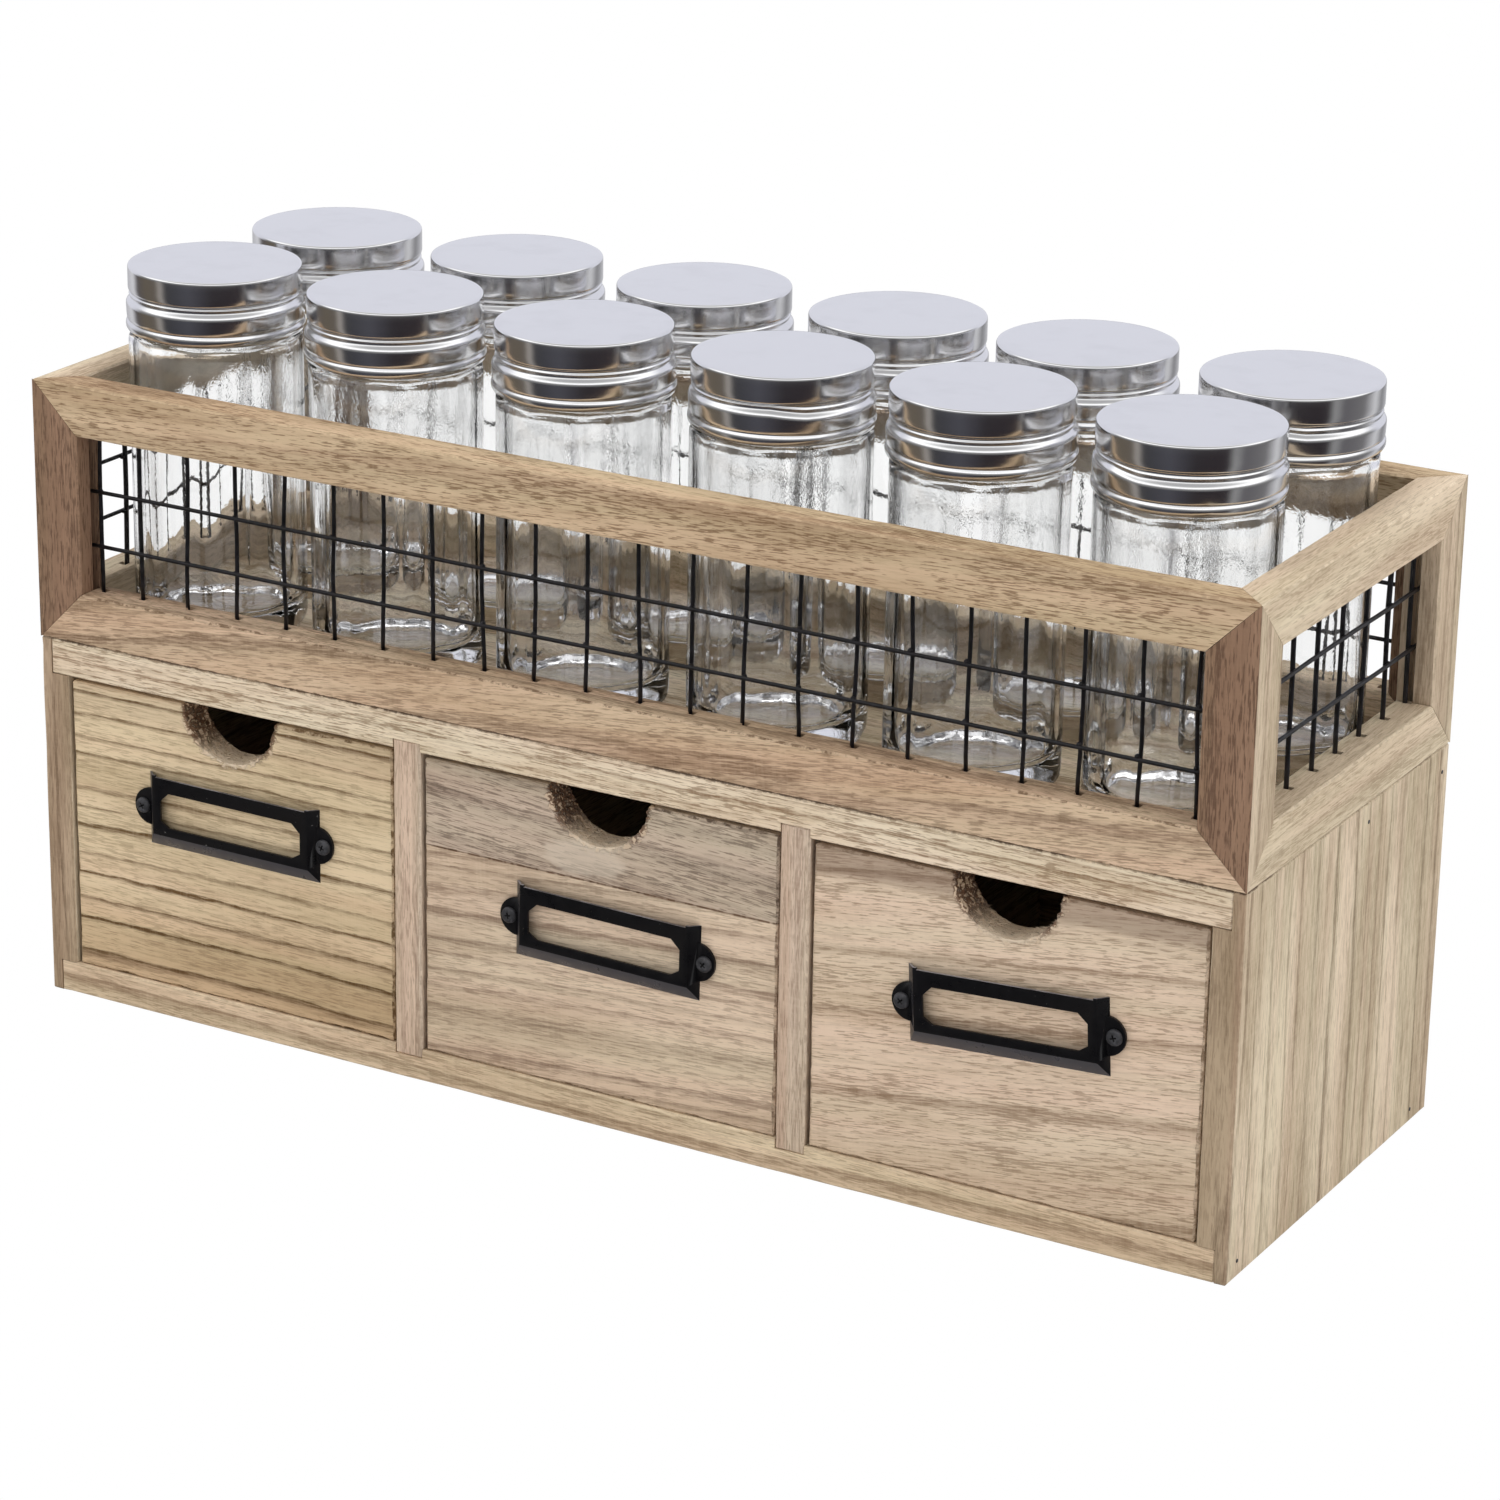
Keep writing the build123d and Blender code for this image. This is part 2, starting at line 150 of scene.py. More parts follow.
# %% Graphs
class Graph:
    """A tree of shader nodes and short ways to add to it."""

    def __init__(self, tree, place=None):
        self.tree, self.place = tree, place

    def fill(self, node, inputs):
        for name, value in inputs.items():
            if isinstance(value, Wire):
                self.tree.links.new(value.socket, node.inputs[name])
            else:
                node.inputs[name].default_value = value

    def node(self, kind, inputs={}, **settings):
        node = self.tree.nodes.new("ShaderNode" + kind)
        for name, value in settings.items():
            setattr(node, name, value)
        self.fill(node, inputs)
        return node

    def add(self, kind, inputs={}, output=0, **settings):
        """Adds a node and returns one of its outputs."""
        return Wire(self, self.node(kind, inputs, **settings).outputs[output])

    def all(self, kind, inputs={}, **settings):
        """Adds a node and returns its outputs by name."""
        return {out.name: Wire(self, out) for out in self.node(kind, inputs, **settings).outputs}

    @property
    def at(self):
        """Where a point lies: on the object, or what a group was given."""
        if self.place is None:
            self.place = self.add("TexCoord", output="Object")
        return self.place

    def xyz(self, vector=None):
        return list(self.all("SeparateXYZ", {0: vector or self.at}).values())

    def vector(self, operation, first, second):
        return self.add("VectorMath", {0: first, 1: second}, operation=operation)

    def length(self, vector, scale):
        """A vector's length once it is scaled along x, y and z."""
        scaled = self.vector("MULTIPLY", vector, scale)
        return self.add("VectorMath", {0: scaled}, "Value", operation="LENGTH")

    def noise(self, scale, detail=2.0, roughness=0.5, distortion=0.0):
        """Noise with so many lumps per metre along x, y and z."""
        inputs = {"Vector": self.vector("MULTIPLY", self.at, scale), "Scale": 1.0, "Detail": detail,
                  "Roughness": roughness, "Distortion": distortion}
        return self.add("TexNoise", inputs)

    def mix(self, share, first, second, blend="MIX"):
        """Two colours mixed, or one multiplied by the other."""
        inputs = {"Factor": share, 6: first, 7: second}
        return self.add("Mix", inputs, 2, data_type="RGBA", blend_type=blend)

    def attribute(self, name):
        """What a mesh says about its faces."""
        return self.add("Attribute", {}, "Fac", attribute_name=name)

    def bump(self, height, strength, distance, **below):
        inputs = {"Height": height, "Strength": strength, "Distance": distance}
        return self.add("Bump", {**inputs, **below})

    def blend(self, share, first, second):
        """Two shaders mixed."""
        return self.add("MixShader", {0: share, 1: first, 2: second})

    def seen(self):
        """1 where a thing is seen, plainly or through glass, and not where it gives light."""
        path = self.all("LightPath")
        return path["Is Camera Ray"].math("MAXIMUM", path["Is Transmission Ray"])


class Material(Graph):
    """A new material's graph, with its Principled shader."""

    def __init__(self, name):
        self.material = bpy.data.materials.new(name)
        self.material.use_nodes = True
        super().__init__(self.material.node_tree)
        self.shader = self.tree.nodes["Principled BSDF"]

    def surface(self, inputs):
        """Fills the shader and returns the material."""
        self.fill(self.shader, inputs)
        return self.material

    def cover(self, share, other):
        """Mixes another shader over the Principled one."""
        mixed = self.blend(share, Wire(self, self.shader.outputs[0]), other)
        self.fill(self.tree.nodes["Material Output"], {"Surface": mixed})


def new_group(name, inputs, outputs):
    """An empty node group from names by kind; returns its graph, inputs and output node."""
    tree = bpy.data.node_groups.new(name, "ShaderNodeTree")
    for in_out, sockets in (("INPUT", inputs), ("OUTPUT", outputs)):
        for kind, labels in sockets.items():
            for label in labels:
                tree.interface.new_socket(label, in_out=in_out, socket_type="NodeSocket" + kind)
    graph = Graph(tree)
    given = {out.name: Wire(graph, out) for out in tree.nodes.new("NodeGroupInput").outputs}
    graph.place = given["Vector"]
    return graph, given, tree.nodes.new("NodeGroupOutput")


# %% [markdown]
# ## Building pieces in code
#
# A piece starts as a bmesh, often a copy of its solid, and becomes an object that
# rides on a body, fills a material slot and may stand for a solid.

# %% Piece helpers
def solid_copy(node):
    """The node's mesh as a bmesh."""
    bm = bmesh.new()
    bm.from_mesh(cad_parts[node].data)
    bm.normal_update()
    return bm


def merge_flats(bm):
    """Merges loose triangles back into flat faces."""
    bmesh.ops.remove_doubles(bm, verts=bm.verts, dist=0.002 * mm)
    bmesh.ops.dissolve_limit(bm, angle_limit=math.radians(0.5), verts=bm.verts, edges=bm.edges)
    bm.normal_update()
    return bm


def new_mesh(name, bm):
    mesh = bpy.data.meshes.new(name)
    bm.to_mesh(mesh)
    bm.free()
    return mesh


def mark_faces(bm, name, values):
    """Writes a face attribute that a material reads."""
    layer = bm.faces.layers.float.new(name)
    for face, value in zip(bm.faces, values):
        face[layer] = value


def mesh_object(name, bm, material, smooth=False):
    """Turns a bmesh into an object in the scene."""
    mesh = new_mesh(name, bm)
    mesh.materials.append(material)
    if smooth:
        mesh.polygons.foreach_set("use_smooth", [True] * len(mesh.polygons))
    return link(bpy.data.objects.new(name, mesh))


def new_piece(name, bm, material, body, node=None, smooth=True):
    """A piece on a body, in the place of a node's solid if one is named."""
    piece = mesh_object(name, bm, material, smooth)
    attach(piece, body)
    if node:
        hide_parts(node)
    return len(piece.data.polygons)


# %% [markdown]
# ## Studio
#
# The floor is plain white wherever it is seen, as in a cut-out catalogue picture, and
# the sky and four soft lamps light the wood. Polished metal looks like metal only when
# it also mirrors something dark. So mirrors see a sky of their own: lilac low behind
# the cabinet, where the flat tops of the lids look, grey with one bright window high in
# front, and below the horizon a row of dark and light screens round the camera, which
# the bands of the lids mirror.

# %% Studio
floor_reach = 4.0
sky_light = 0.54
white = (1, 1, 1, 1)
screens = (
    # degrees to the right of the camera, and the tone of the screen there
    (-150, (0.55, 0.55, 0.58)), (-131, (0.75, 0.75, 0.78)), (-118, (0.10, 0.09, 0.09)),
    (-98, (0.14, 0.118, 0.09)), (-80, (0.13, 0.11, 0.09)), (-72, (0.42, 0.39, 0.36)),
    (-64, (0.045, 0.045, 0.05)), (-30, (0.075, 0.075, 0.09)), (2, (0.03, 0.026, 0.03)),
    (40, (0.028, 0.022, 0.026)), (49, (0.33, 0.33, 0.33)), (62, (0.13, 0.125, 0.135)),
    (95, (0.19, 0.185, 0.19)), (118, (0.70, 0.70, 0.72)), (136, (0.25, 0.25, 0.26)),
    (165, (0.6, 0.6, 0.63)),
)
lamps = {
    # place, width and height, power
    "lamp_above": ((0.0, 0.1, 1.5), (1.4, 1.0), 10.5),
    "lamp_left": ((-1.3, -0.7, 0.7), (0.5, 1.0), 5.0),
    "lamp_right": ((1.4, -0.2, 0.8), (0.5, 1.0), 6.0),
    "lamp_front": ((-0.35, -1.5, 0.9), (0.8, 0.8), 1.6),
}
lamps_aim = Vector((0, 0, 0.1))


def floor_material():
    """Plain white where it is seen, and a matt white that gives light back elsewhere."""
    g = Material("studio_floor")
    g.cover(g.seen(), g.add("Emission", {"Color": white, "Strength": 1.0}))
    return g.surface({"Base Color": (0.93, 0.93, 0.935, 1), "Roughness": 0.9, "Specular IOR Level": 0.0})


def mirrored_sky(g):
    """The sky that only mirrors see, from the way they look."""
    turn = math.atan2(camera_place.x, -camera_place.y)
    look = g.add("TexCoord", output="Generated")
    turned = g.add("VectorRotate", {"Vector": look, "Angle": -turn}, rotation_type="Z_AXIS")
    x, y, height = g.xyz(turned)
    to_camera = y * -1.0
    ramp = g.node("ValToRGB", {0: x.math("ARCTAN2", to_camera) * (0.5 / math.pi) + 0.5})
    stops = ramp.color_ramp.elements
    while len(stops) < len(screens):
        stops.new(1.0)
    for stop, (degrees, tone) in zip(stops, screens):
        stop.position = 0.5 + degrees / 360
        stop.color = (*tone, 1)
    around = Wire(g, ramp.outputs[0])
    low = g.mix(height.remap(-0.60, -0.85), around, (0.055, 0.042, 0.05, 1))
    window = height.remap(0.36, 0.56) * height.remap(0.90, 0.68)
    front = window * 0.95 + height.remap(0.0, 0.5, 0.16, 0.50)
    front = g.mix(0.25, front, around, "SCREEN")
    back = g.mix(height.remap(0.55, 0.75), (0.79, 0.80, 0.88, 1), (0.95, 0.95, 0.97, 1))
    high = g.mix(to_camera.remap(-0.2, -0.6), front, back)
    return g.mix(height.remap(-0.16, -0.02), low, high)


def sky():
    """Even light all round, plain white where it is seen, and screens where it is mirrored."""
    world = bpy.data.worlds.new("studio_sky")
    world.use_nodes = True
    world.node_tree.nodes.clear()
    g = Graph(world.node_tree)
    lights = g.add("Background", {"Color": (1, 0.995, 0.985, 1), "Strength": sky_light})
    shows = g.add("Background", {"Color": white, "Strength": 1.0})
    mirrors = g.add("Background", {"Color": mirrored_sky(g), "Strength": 1.0})
    mirrored = g.add("LightPath", output="Is Glossy Ray")
    g.node("OutputWorld", {"Surface": g.blend(mirrored, g.blend(g.seen(), lights, shows), mirrors)})
    bpy.context.scene.world = world


def softbox(name, place, size, power):
    """A soft lamp that looks at the cabinet and is not mirrored."""
    lamp = bpy.data.lights.new(name, "AREA")
    lamp.shape = "RECTANGLE"
    lamp.size, lamp.size_y = size
    lamp.energy = power
    thing = link(bpy.data.objects.new(name, lamp))
    thing.visible_glossy = False
    thing.matrix_world = Matrix.Translation(place) @ facing(lamps_aim - Vector(place), "-Z")


def studio_floor():
    """A wide level square, marked as studio and not as part of the object."""
    bm = bmesh.new()
    bmesh.ops.create_grid(bm, x_segments=1, y_segments=1, size=floor_reach)
    thing = mesh_object("studio_floor", bm, floor_material())
    thing.visible_glossy = False


studio_floor()
sky()
for name, lamp in lamps.items():
    softbox(name, *lamp)
bpy.context.scene.view_settings.view_transform = "Standard"
print("studio: floor, sky,", len(lamps), "lamps and", len(screens), "screens")

# %% [markdown]
# ## Wood
#
# Paulownia has wide yearly rings with a dark late edge, long fine fibres and open
# pores that show as short brown dashes. The pattern is solid: rings are shells round
# the tree's heart, so it runs on over a board's edges and shows arcs on its ends.
# One group draws it in coordinates where x runs along the grain and y and z are the
# distances from the heart. Each board then gets its own place in its own tree.

# %% Grain group
def grain_group():
    """Paulownia: rings, fibres and pores, as a colour and a height."""
    amounts = ["Ring Width", "Ring Mark", "Late From", "Wander", "Fibre", "Pores", "Patches"]
    inputs = {"Vector": ["Vector"], "Float": amounts, "Color": ["Pale", "Body", "Dark"]}
    g, given, out = new_group("paulownia_grain", inputs, {"Color": ["Color"], "Float": ["Height"]})
    pale, body, dark = given["Pale"], given["Body"], given["Dark"]

    bend = (g.noise((45, 160, 160)) - 0.5) * 0.22 + (g.noise((7, 34, 34), 1.5) - 0.5)
    torn = g.noise((160, 1500, 1500), 3.0, 0.65) - 0.5
    bent = bend * given["Wander"] * 2.0 + g.length(g.at, (0, 1, 1)) + torn * (1.1 * mm)
    year = bent / given["Ring Width"]
    uneven = g.add("TexNoise", {"W": year, "Scale": 0.37, "Detail": 1.0}, noise_dimensions="1D")
    year = uneven * 1.4 + year
    season = year.math("FRACT")
    late = season.remap(given["Late From"], 0.94).math("POWER", 1.6) * season.remap(0.92, 1.0, 1.0, 0.0)
    which = g.add("TexWhiteNoise", {"W": year.math("FLOOR")}, noise_dimensions="1D")
    late = late * (which * 0.55 + 0.60)

    long_fibre = g.noise((22, 750, 750), 3.0, 0.6).remap(0.38, 0.62)
    short_fibre = g.noise((150, 2100, 2100), 3.0, 0.65).remap(0.38, 0.62)
    fibre = short_fibre * 0.55 + long_fibre * 0.45
    crowd = late * -0.05 + ((g.noise((38, 190, 190)) - 0.5) * -0.34 + 0.525)
    dashes = (g.noise((210, 2500, 2500), 2.0, 0.55) - crowd).remap(0.0, 0.09)

    patches = g.noise((9, 60, 60)).remap(0.38, 0.62)
    colour = g.mix(patches * given["Patches"], body, pale)
    ring = late.times(given["Ring Mark"]).times(fibre * -0.45 + 1.18)
    colour = g.mix(ring, colour, dark)
    light = (fibre - 0.55) * given["Fibre"]
    colour = g.mix(light.times(1.3), colour, pale)
    colour = g.mix(light.times(-1.05), colour, dark)
    marks = dashes.times(given["Pores"])
    colour = g.mix(marks * 0.8, colour, dark)
    drift = g.noise((5, 120, 120)).remap(0.36, 0.64)
    tint = g.mix(drift, (1.02, 0.975, 0.965, 1), (0.98, 0.985, 0.95, 1))
    g.fill(out, {"Color": g.mix(1.0, colour, tint, "MULTIPLY"),
                 "Height": late * 0.30 + (fibre * 0.40 + marks * -0.9)})
    return g.tree


grain = grain_group()
print("group", grain.name, "with", len(grain.nodes), "nodes")

# %% [markdown]
# A saw leaves faint scratches across the fibres, sanding leaves the corners pale and
# a little dirty, and a cut across the grain, as in the finger notches, drinks light
# and turns brown. A second group lays this over the grain. Where a board has been
# worn, its mesh says so in an attribute named corner.

# %% Wear group
def wear_group():
    """Saw scratches, a worn corner and handling marks laid over a wood colour."""
    inputs = {"Vector": ["Vector"], "Float": ["Height", "Corner", "Scratch", "Chips"],
              "Color": ["Color", "Pale", "Dirt"]}
    outputs = {"Color": ["Color"], "Float": ["Height", "Roughness"]}
    g, given, out = new_group("sawn_and_sanded", inputs, outputs)
    scratch = g.noise((1300, 40, 40), 2.0, 0.6).remap(0.4, 0.75) * given["Scratch"]
    speck = g.noise((420, 420, 420), 3.0, 0.65).remap(0.42, 0.62)
    chip = (speck * given["Corner"]).times(given["Chips"])
    colour = g.mix(scratch * 0.30, given["Color"], given["Pale"])
    colour = g.mix(given["Corner"] * 0.30, colour, given["Pale"])
    height = chip * -1.2 + (scratch * -0.25 + given["Height"])
    g.fill(out, {"Color": g.mix(chip, colour, given["Dirt"]), "Height": height,
                 "Roughness": height.remap(-1.0, 1.0, 0.86, 0.66, "LINEAR")})
    return g.tree


wear = wear_group()
saw_scratches = 0.3
print("group", wear.name, "with", len(wear.nodes), "nodes")

# %% [markdown]
# ## One tree for each board
#
# The boards differ as in a real batch: one drawer is boldly striped, one is grey with
# soft waves, one is pinkish with fine pores. A look holds the amounts and colours,
# and a board's heart says how far behind or below it the middle of the tree lies: a
# heart far off gives straight lines, and a near one gives arched figure.

# %% Wood looks
looks = {
    # ring width in mm, start of the late wood, its mark, wander in mm, fibre, pores,
    # patches and chips, and then the pale, the body and the dark colour
    "striped": (5.0, 0.62, 1.05, 2.4, 0.4, 0.4, 0.7, 0.9, (233, 212, 180), (207, 185, 152), (104, 78, 46)),
    "grey": (4.8, 0.3, 0.5, 2.6, 0.42, 0.45, 0.7, 0.8, (234, 216, 192), (203, 182, 158), (110, 85, 66)),
    "weathered": (9.0, 0.3, 0.35, 3.0, 0.5, 0.75, 0.6, 0.9, (208, 192, 173), (185, 167, 148), (96, 80, 68)),
    "pink": (20.0, 0.74, 0.55, 1.4, 0.42, 0.62, 0.6, 0.7, (234, 215, 193), (212, 189, 165), (120, 93, 66)),
    "panel": (8.5, 0.7, 0.68, 5.0, 0.64, 0.34, 1.0, 0.2, (222, 207, 183), (193, 176, 151), (116, 96, 72)),
    "end": (5.4, 0.5, 0.5, 2.0, 0.5, 0.4, 0.8, 0.2, (215, 199, 175), (186, 169, 145), (112, 91, 68)),
    "cream": (3.6, 0.5, 0.58, 2.4, 0.62, 0.75, 0.9, 0.5, (240, 226, 203), (213, 193, 165), (124, 94, 64)),
    "pale": (9.0, 0.2, 0.25, 5.0, 0.44, 0.45, 0.7, 0.3, (232, 217, 193), (206, 189, 164), (130, 106, 80)),
    "edge": (5.0, 0.3, 0.35, 1.6, 0.46, 0.5, 0.8, 0.3, (237, 220, 200), (211, 193, 173), (128, 102, 84)),
    "flecked": (16.0, 0.4, 0.3, 7.0, 0.46, 0.85, 0.8, 0.3, (214, 191, 160), (189, 164, 133), (108, 78, 50)),
    "streaked": (8.0, 0.2, 0.45, 8.0, 0.66, 0.6, 0.8, 0.8, (220, 195, 168), (200, 172, 143), (102, 77, 54)),
    "brown": (5.0, 0.3, 0.1, 2.5, 0.3, 0.9, 0.7, 0.3, (163, 133, 110), (141, 113, 91), (88, 66, 52)),
    "plain": (6.0, 0.35, 0.5, 3.0, 0.5, 0.5, 0.8, 0.2, (240, 221, 192), (214, 193, 164), (120, 93, 65)),
}
turn_to_grain = {"x": (0, 0, 0), "y": (0, 0, -math.pi / 2), "z": (0, math.pi / 2, 0)}


def front_edge(g, colour):
    """Browns the front edges of the side boards, which show a darker layer of the tree."""
    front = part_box("cabinet_right_side")[0].y
    at_front = g.xyz()[1].remap(front + 0.5 * mm, front + 0.3 * mm)
    return g.mix(at_front * 0.9, colour, paint(210, 198, 190), "MULTIPLY")


def divider_stain(g, colour):
    """Browns the left half of both dividers' front edges, which lies nearer the bark."""
    x = g.xyz()[0]
    xs = [vert.co.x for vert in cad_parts["cabinet_dividers"].data.vertices]
    middle = (max(xs) + min(map(abs, xs))) / 2
    to_right = (abs(x) - middle) * x.math("SIGN")
    ragged = g.noise((1500, 1500, 60), 3.0, 0.6) - 0.5
    brown = (ragged * (3.0 * mm) + to_right).remap(0.0, -2.0 * mm, 0.0, 0.4)
    return g.mix(brown, colour, paint(224, 208, 196), "MULTIPLY")


def joint_shade(g, colour):
    """Painted shade: a dark broken line in the gap where the tray stands on the cabinet."""
    x, y, z = g.xyz()
    low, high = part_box("cabinet_top")
    wide = g.noise((500, 500, 40), 3.0, 0.65).remap(0.35, 0.70, 0.15 * mm, 0.55 * mm)
    here = g.noise((45, 45, 0)).remap(0.40, 0.58, 0.15, 0.75)
    share = (abs(z - high.z) / wide).remap(1.0, 0.45) * here
    from_side = high.x - abs(x)
    from_front = (high.y - low.y) / 2 - abs(y - (low.y + high.y) / 2)
    outside = from_side.math("MINIMUM", from_front).remap(1.2 * mm, 0.6 * mm)
    # the painted shade along the joint, on the outside faces only
    return g.mix(share * outside, colour, paint(84, 62, 46))


own_marks = {"cabinet_left_side": front_edge, "cabinet_right_side": front_edge,
             "cabinet_dividers": divider_stain}


def dress_wood(g, name, look, along, heart, tilt):
    """Draws a board's grain and wear; returns what its shader's inputs get."""
    ring, late, mark, wander, fibre, pores, patches, chips, *tones = looks[look]
    pale, body, dark = (paint(*tone) for tone in tones)
    turn = Vector(turn_to_grain[along]) + Vector((0, math.radians(tilt), 0))
    at = g.add("Mapping", {"Vector": g.at, "Rotation": turn, "Location": heart})
    lines = g.all("Group", {
        "Vector": at, "Ring Width": ring * mm, "Ring Mark": mark, "Late From": late,
        "Wander": wander * mm, "Fibre": fibre, "Pores": pores, "Patches": patches,
        "Pale": pale, "Body": body, "Dark": dark}, node_tree=grain)
    worn = g.all("Group", {
        "Vector": at, "Color": lines["Color"], "Height": lines["Height"], "Pale": pale, "Dirt": dark,
        "Corner": g.attribute("corner"), "Scratch": saw_scratches, "Chips": chips}, node_tree=wear)
    colour = worn["Color"]
    if name in own_marks:
        colour = own_marks[name](g, colour)
    return {"Base Color": joint_shade(g, colour), "Roughness": worn["Roughness"],
            "Normal": g.bump(worn["Height"], 0.16, 0.4 * mm), "Specular IOR Level": 0.25}


def wood(name, look, along, heart, tilt=0.0):
    """A board's material: its look, the way its grain runs and where its heart lies."""
    g = Material("wood_" + name)
    return g.surface(dress_wood(g, name, look, along, heart, tilt))


print("wood looks", len(looks))

# %% [markdown]
# ## Worn boards
#
# A sanded corner is never even. Each board is a copy of its solid: the loose
# triangles are merged back into flat faces, the long edges beside the corners are cut
# into short lengths, and each new point slides a little into its own flat face. The
# big faces stay flat, and only the corner between them wanders. Slanting mitre faces
# move in by a hair, so that a joint shows as a thin dark line.

# %% Worn board helper
corner_width = 0.4 * mm
board_wear = 0.3 * mm
board_step = 2.2 * mm
joint_gap = 0.05 * mm


def is_slant(face):
    """True for the narrow faces that sanding left along the corners."""
    axis_like = max(abs(value) for value in face.normal)
    return axis_like < 0.9 and face.calc_area() / face.calc_perimeter() < corner_width


def wander_corners(bm, worn, step, seed):
    """Cuts the edges beside the corners short and slides their points into the flat faces."""
    corners = [face for face in bm.faces if is_slant(face)]
    corner_set = set(corners)
    beside = {edge for face in corners for edge in face.edges
              if any(other not in corner_set for other in edge.link_faces)}
    groups = {}
    for edge in beside:
        groups.setdefault(int(edge.calc_length() / step), []).append(edge)
    for cuts, edges in groups.items():
        if cuts:
            bmesh.ops.bisect_edges(bm, edges=edges, cuts=cuts)
    bm.normal_update()
    moves = {}
    for face in corners:
        for vert in face.verts:
            for flat in vert.link_faces:
                slide = face.normal - face.normal.dot(flat.normal) * flat.normal
                if flat not in corner_set and slide.length > 0.2:
                    moves.setdefault(vert, []).append(-slide.normalized())
    for vert, ways in moves.items():
        if len(vert.link_faces) > 2 and len(ways) > 1:
            continue
        coarse = noise.noise(vert.co * 160 + Vector((seed, 0, 0)))
        fine = noise.noise(vert.co * 900 + Vector((0, seed, 0)))
        vert.co += ways[0] * worn * max(0.0, 0.25 + 0.9 * coarse + 0.6 * fine)
    return corner_set


def mark_corners(bm, corners):
    mark_faces(bm, "corner", [float(face in corners) for face in bm.faces])


def board_piece(node, material):
    """A worn copy of a cabinet board that stands for its solid."""
    bm = merge_flats(solid_copy(node))
    for face in list(bm.faces):
        sizes = sorted(abs(value) for value in face.normal)
        if sizes[1] > 0.6 and sizes[2] < 0.8 and face.calc_area() > 20 * mm * mm:
            bmesh.ops.translate(bm, vec=-face.normal * joint_gap, verts=face.verts)
    bm.normal_update()
    corners = wander_corners(bm, board_wear, board_step, seed=len(node) + sum(map(ord, node)) % 17)
    mark_corners(bm, corners)
    new_piece(node + "_worn", bm, material, "cabinet", node, smooth=False)


# %% Carcass and tray boards
boards = {
    # node: look, way of the grain, heart (along, and two distances from it), slot, tilt in degrees
    "cabinet_left_side": ("panel", "z", (0.3, -0.02, 0.16), "cabinet_wood"),
    "cabinet_right_side": ("panel", "z", (0.1, -0.35, 0.26), "cabinet_wood"),
    "cabinet_top": ("cream", "x", (0.1, 0.05, 0.14), "cabinet_wood"),
    "cabinet_bottom": ("plain", "x", (0.5, 0.11, 0.10), "cabinet_wood"),
    "cabinet_dividers": ("edge", "z", (0.2, 0.35, 0.33), "cabinet_wood"),
    "tray_front_bottom_rail": ("streaked", "x", (0.9, 0.16, -0.045), "rail_wood", 6.0),
    "tray_front_top_rail": ("flecked", "x", (0.3, 0.11, -0.06), "rail_wood", 2.5),
    "tray_back_bottom_rail": ("plain", "x", (1.3, 0.02, 0.05), "rail_wood"),
    "tray_back_top_rail": ("flecked", "x", (1.7, -0.02, 0.06), "rail_wood"),
    "tray_left_rails": ("pale", "y", (0.6, 0.05, 0.04), "rail_wood"),
    "tray_right_rails": ("pale", "y", (2.6, 0.06, -0.04), "rail_wood"),
    "tray_long_stiles": ("brown", "z", (0.4, 0.18, 0.30), "stile_wood"),
    "tray_end_stiles": ("end", "z", (0.8, 0.26, 0.02), "stile_wood"),
}
board_woods = {}
for node, (look, along, heart, slot, *tilt) in boards.items():
    board_woods[node] = wood(node, look, along, heart, *tilt)
    board_piece(node, board_woods[node])
print("worn boards", len(boards))

# %% [markdown]
# The boards inside the drawers and the panel behind hardly show, so their solids keep
# their own meshes and only get their finish.

# %% Hidden boards
def finish_node(node, look, along, heart):
    """Gives a solid that stays as it is its wood."""
    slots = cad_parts[node].data.materials
    slots.clear()
    slots.append(wood(node.removeprefix("cabinet_"), look, along, heart))


finish_node("cabinet_back", "plain", "x", (2.2, 0.4, 0.02))
for number in (1, 2, 3):
    finish_node(f"drawer_{number}_sides", "edge", "y", (number, 0.02, 0.2))
    finish_node(f"drawer_{number}_back", "plain", "x", (number, 0.03, 0.2))
    finish_node(f"drawer_{number}_bottom", "plain", "y", (number, 0.3, 0.03))
print("hidden boards", 1 + 3 * 3)

# %% [markdown]
# ## Drawer fronts
#
# The half-moon finger notches were cut with a blunt saw: where the cut meets the ends
# of the fibres, at its sides, the wall is torn, brown and fuzzy, and at the bottom,
# where it runs along the fibres, it is smoother and paler; it is painted paler still,
# as painted light where the board above shades it. So the wall of the notch is
# cut into a fine grid, put back on its true curve and roughened, and thin splinters
# stand on its sides. The middle drawer's front is glued up from two strips.

# %% Notch helpers
notch_radius = 14.2 * mm
notch_above_edge = 0.8 * mm
wall_cuts = 18
wall_rough = 0.60 * mm
splinter_count = 260


def from_axis(point, centre):
    return Vector((point.x - centre.x, 0, point.z - centre.z))


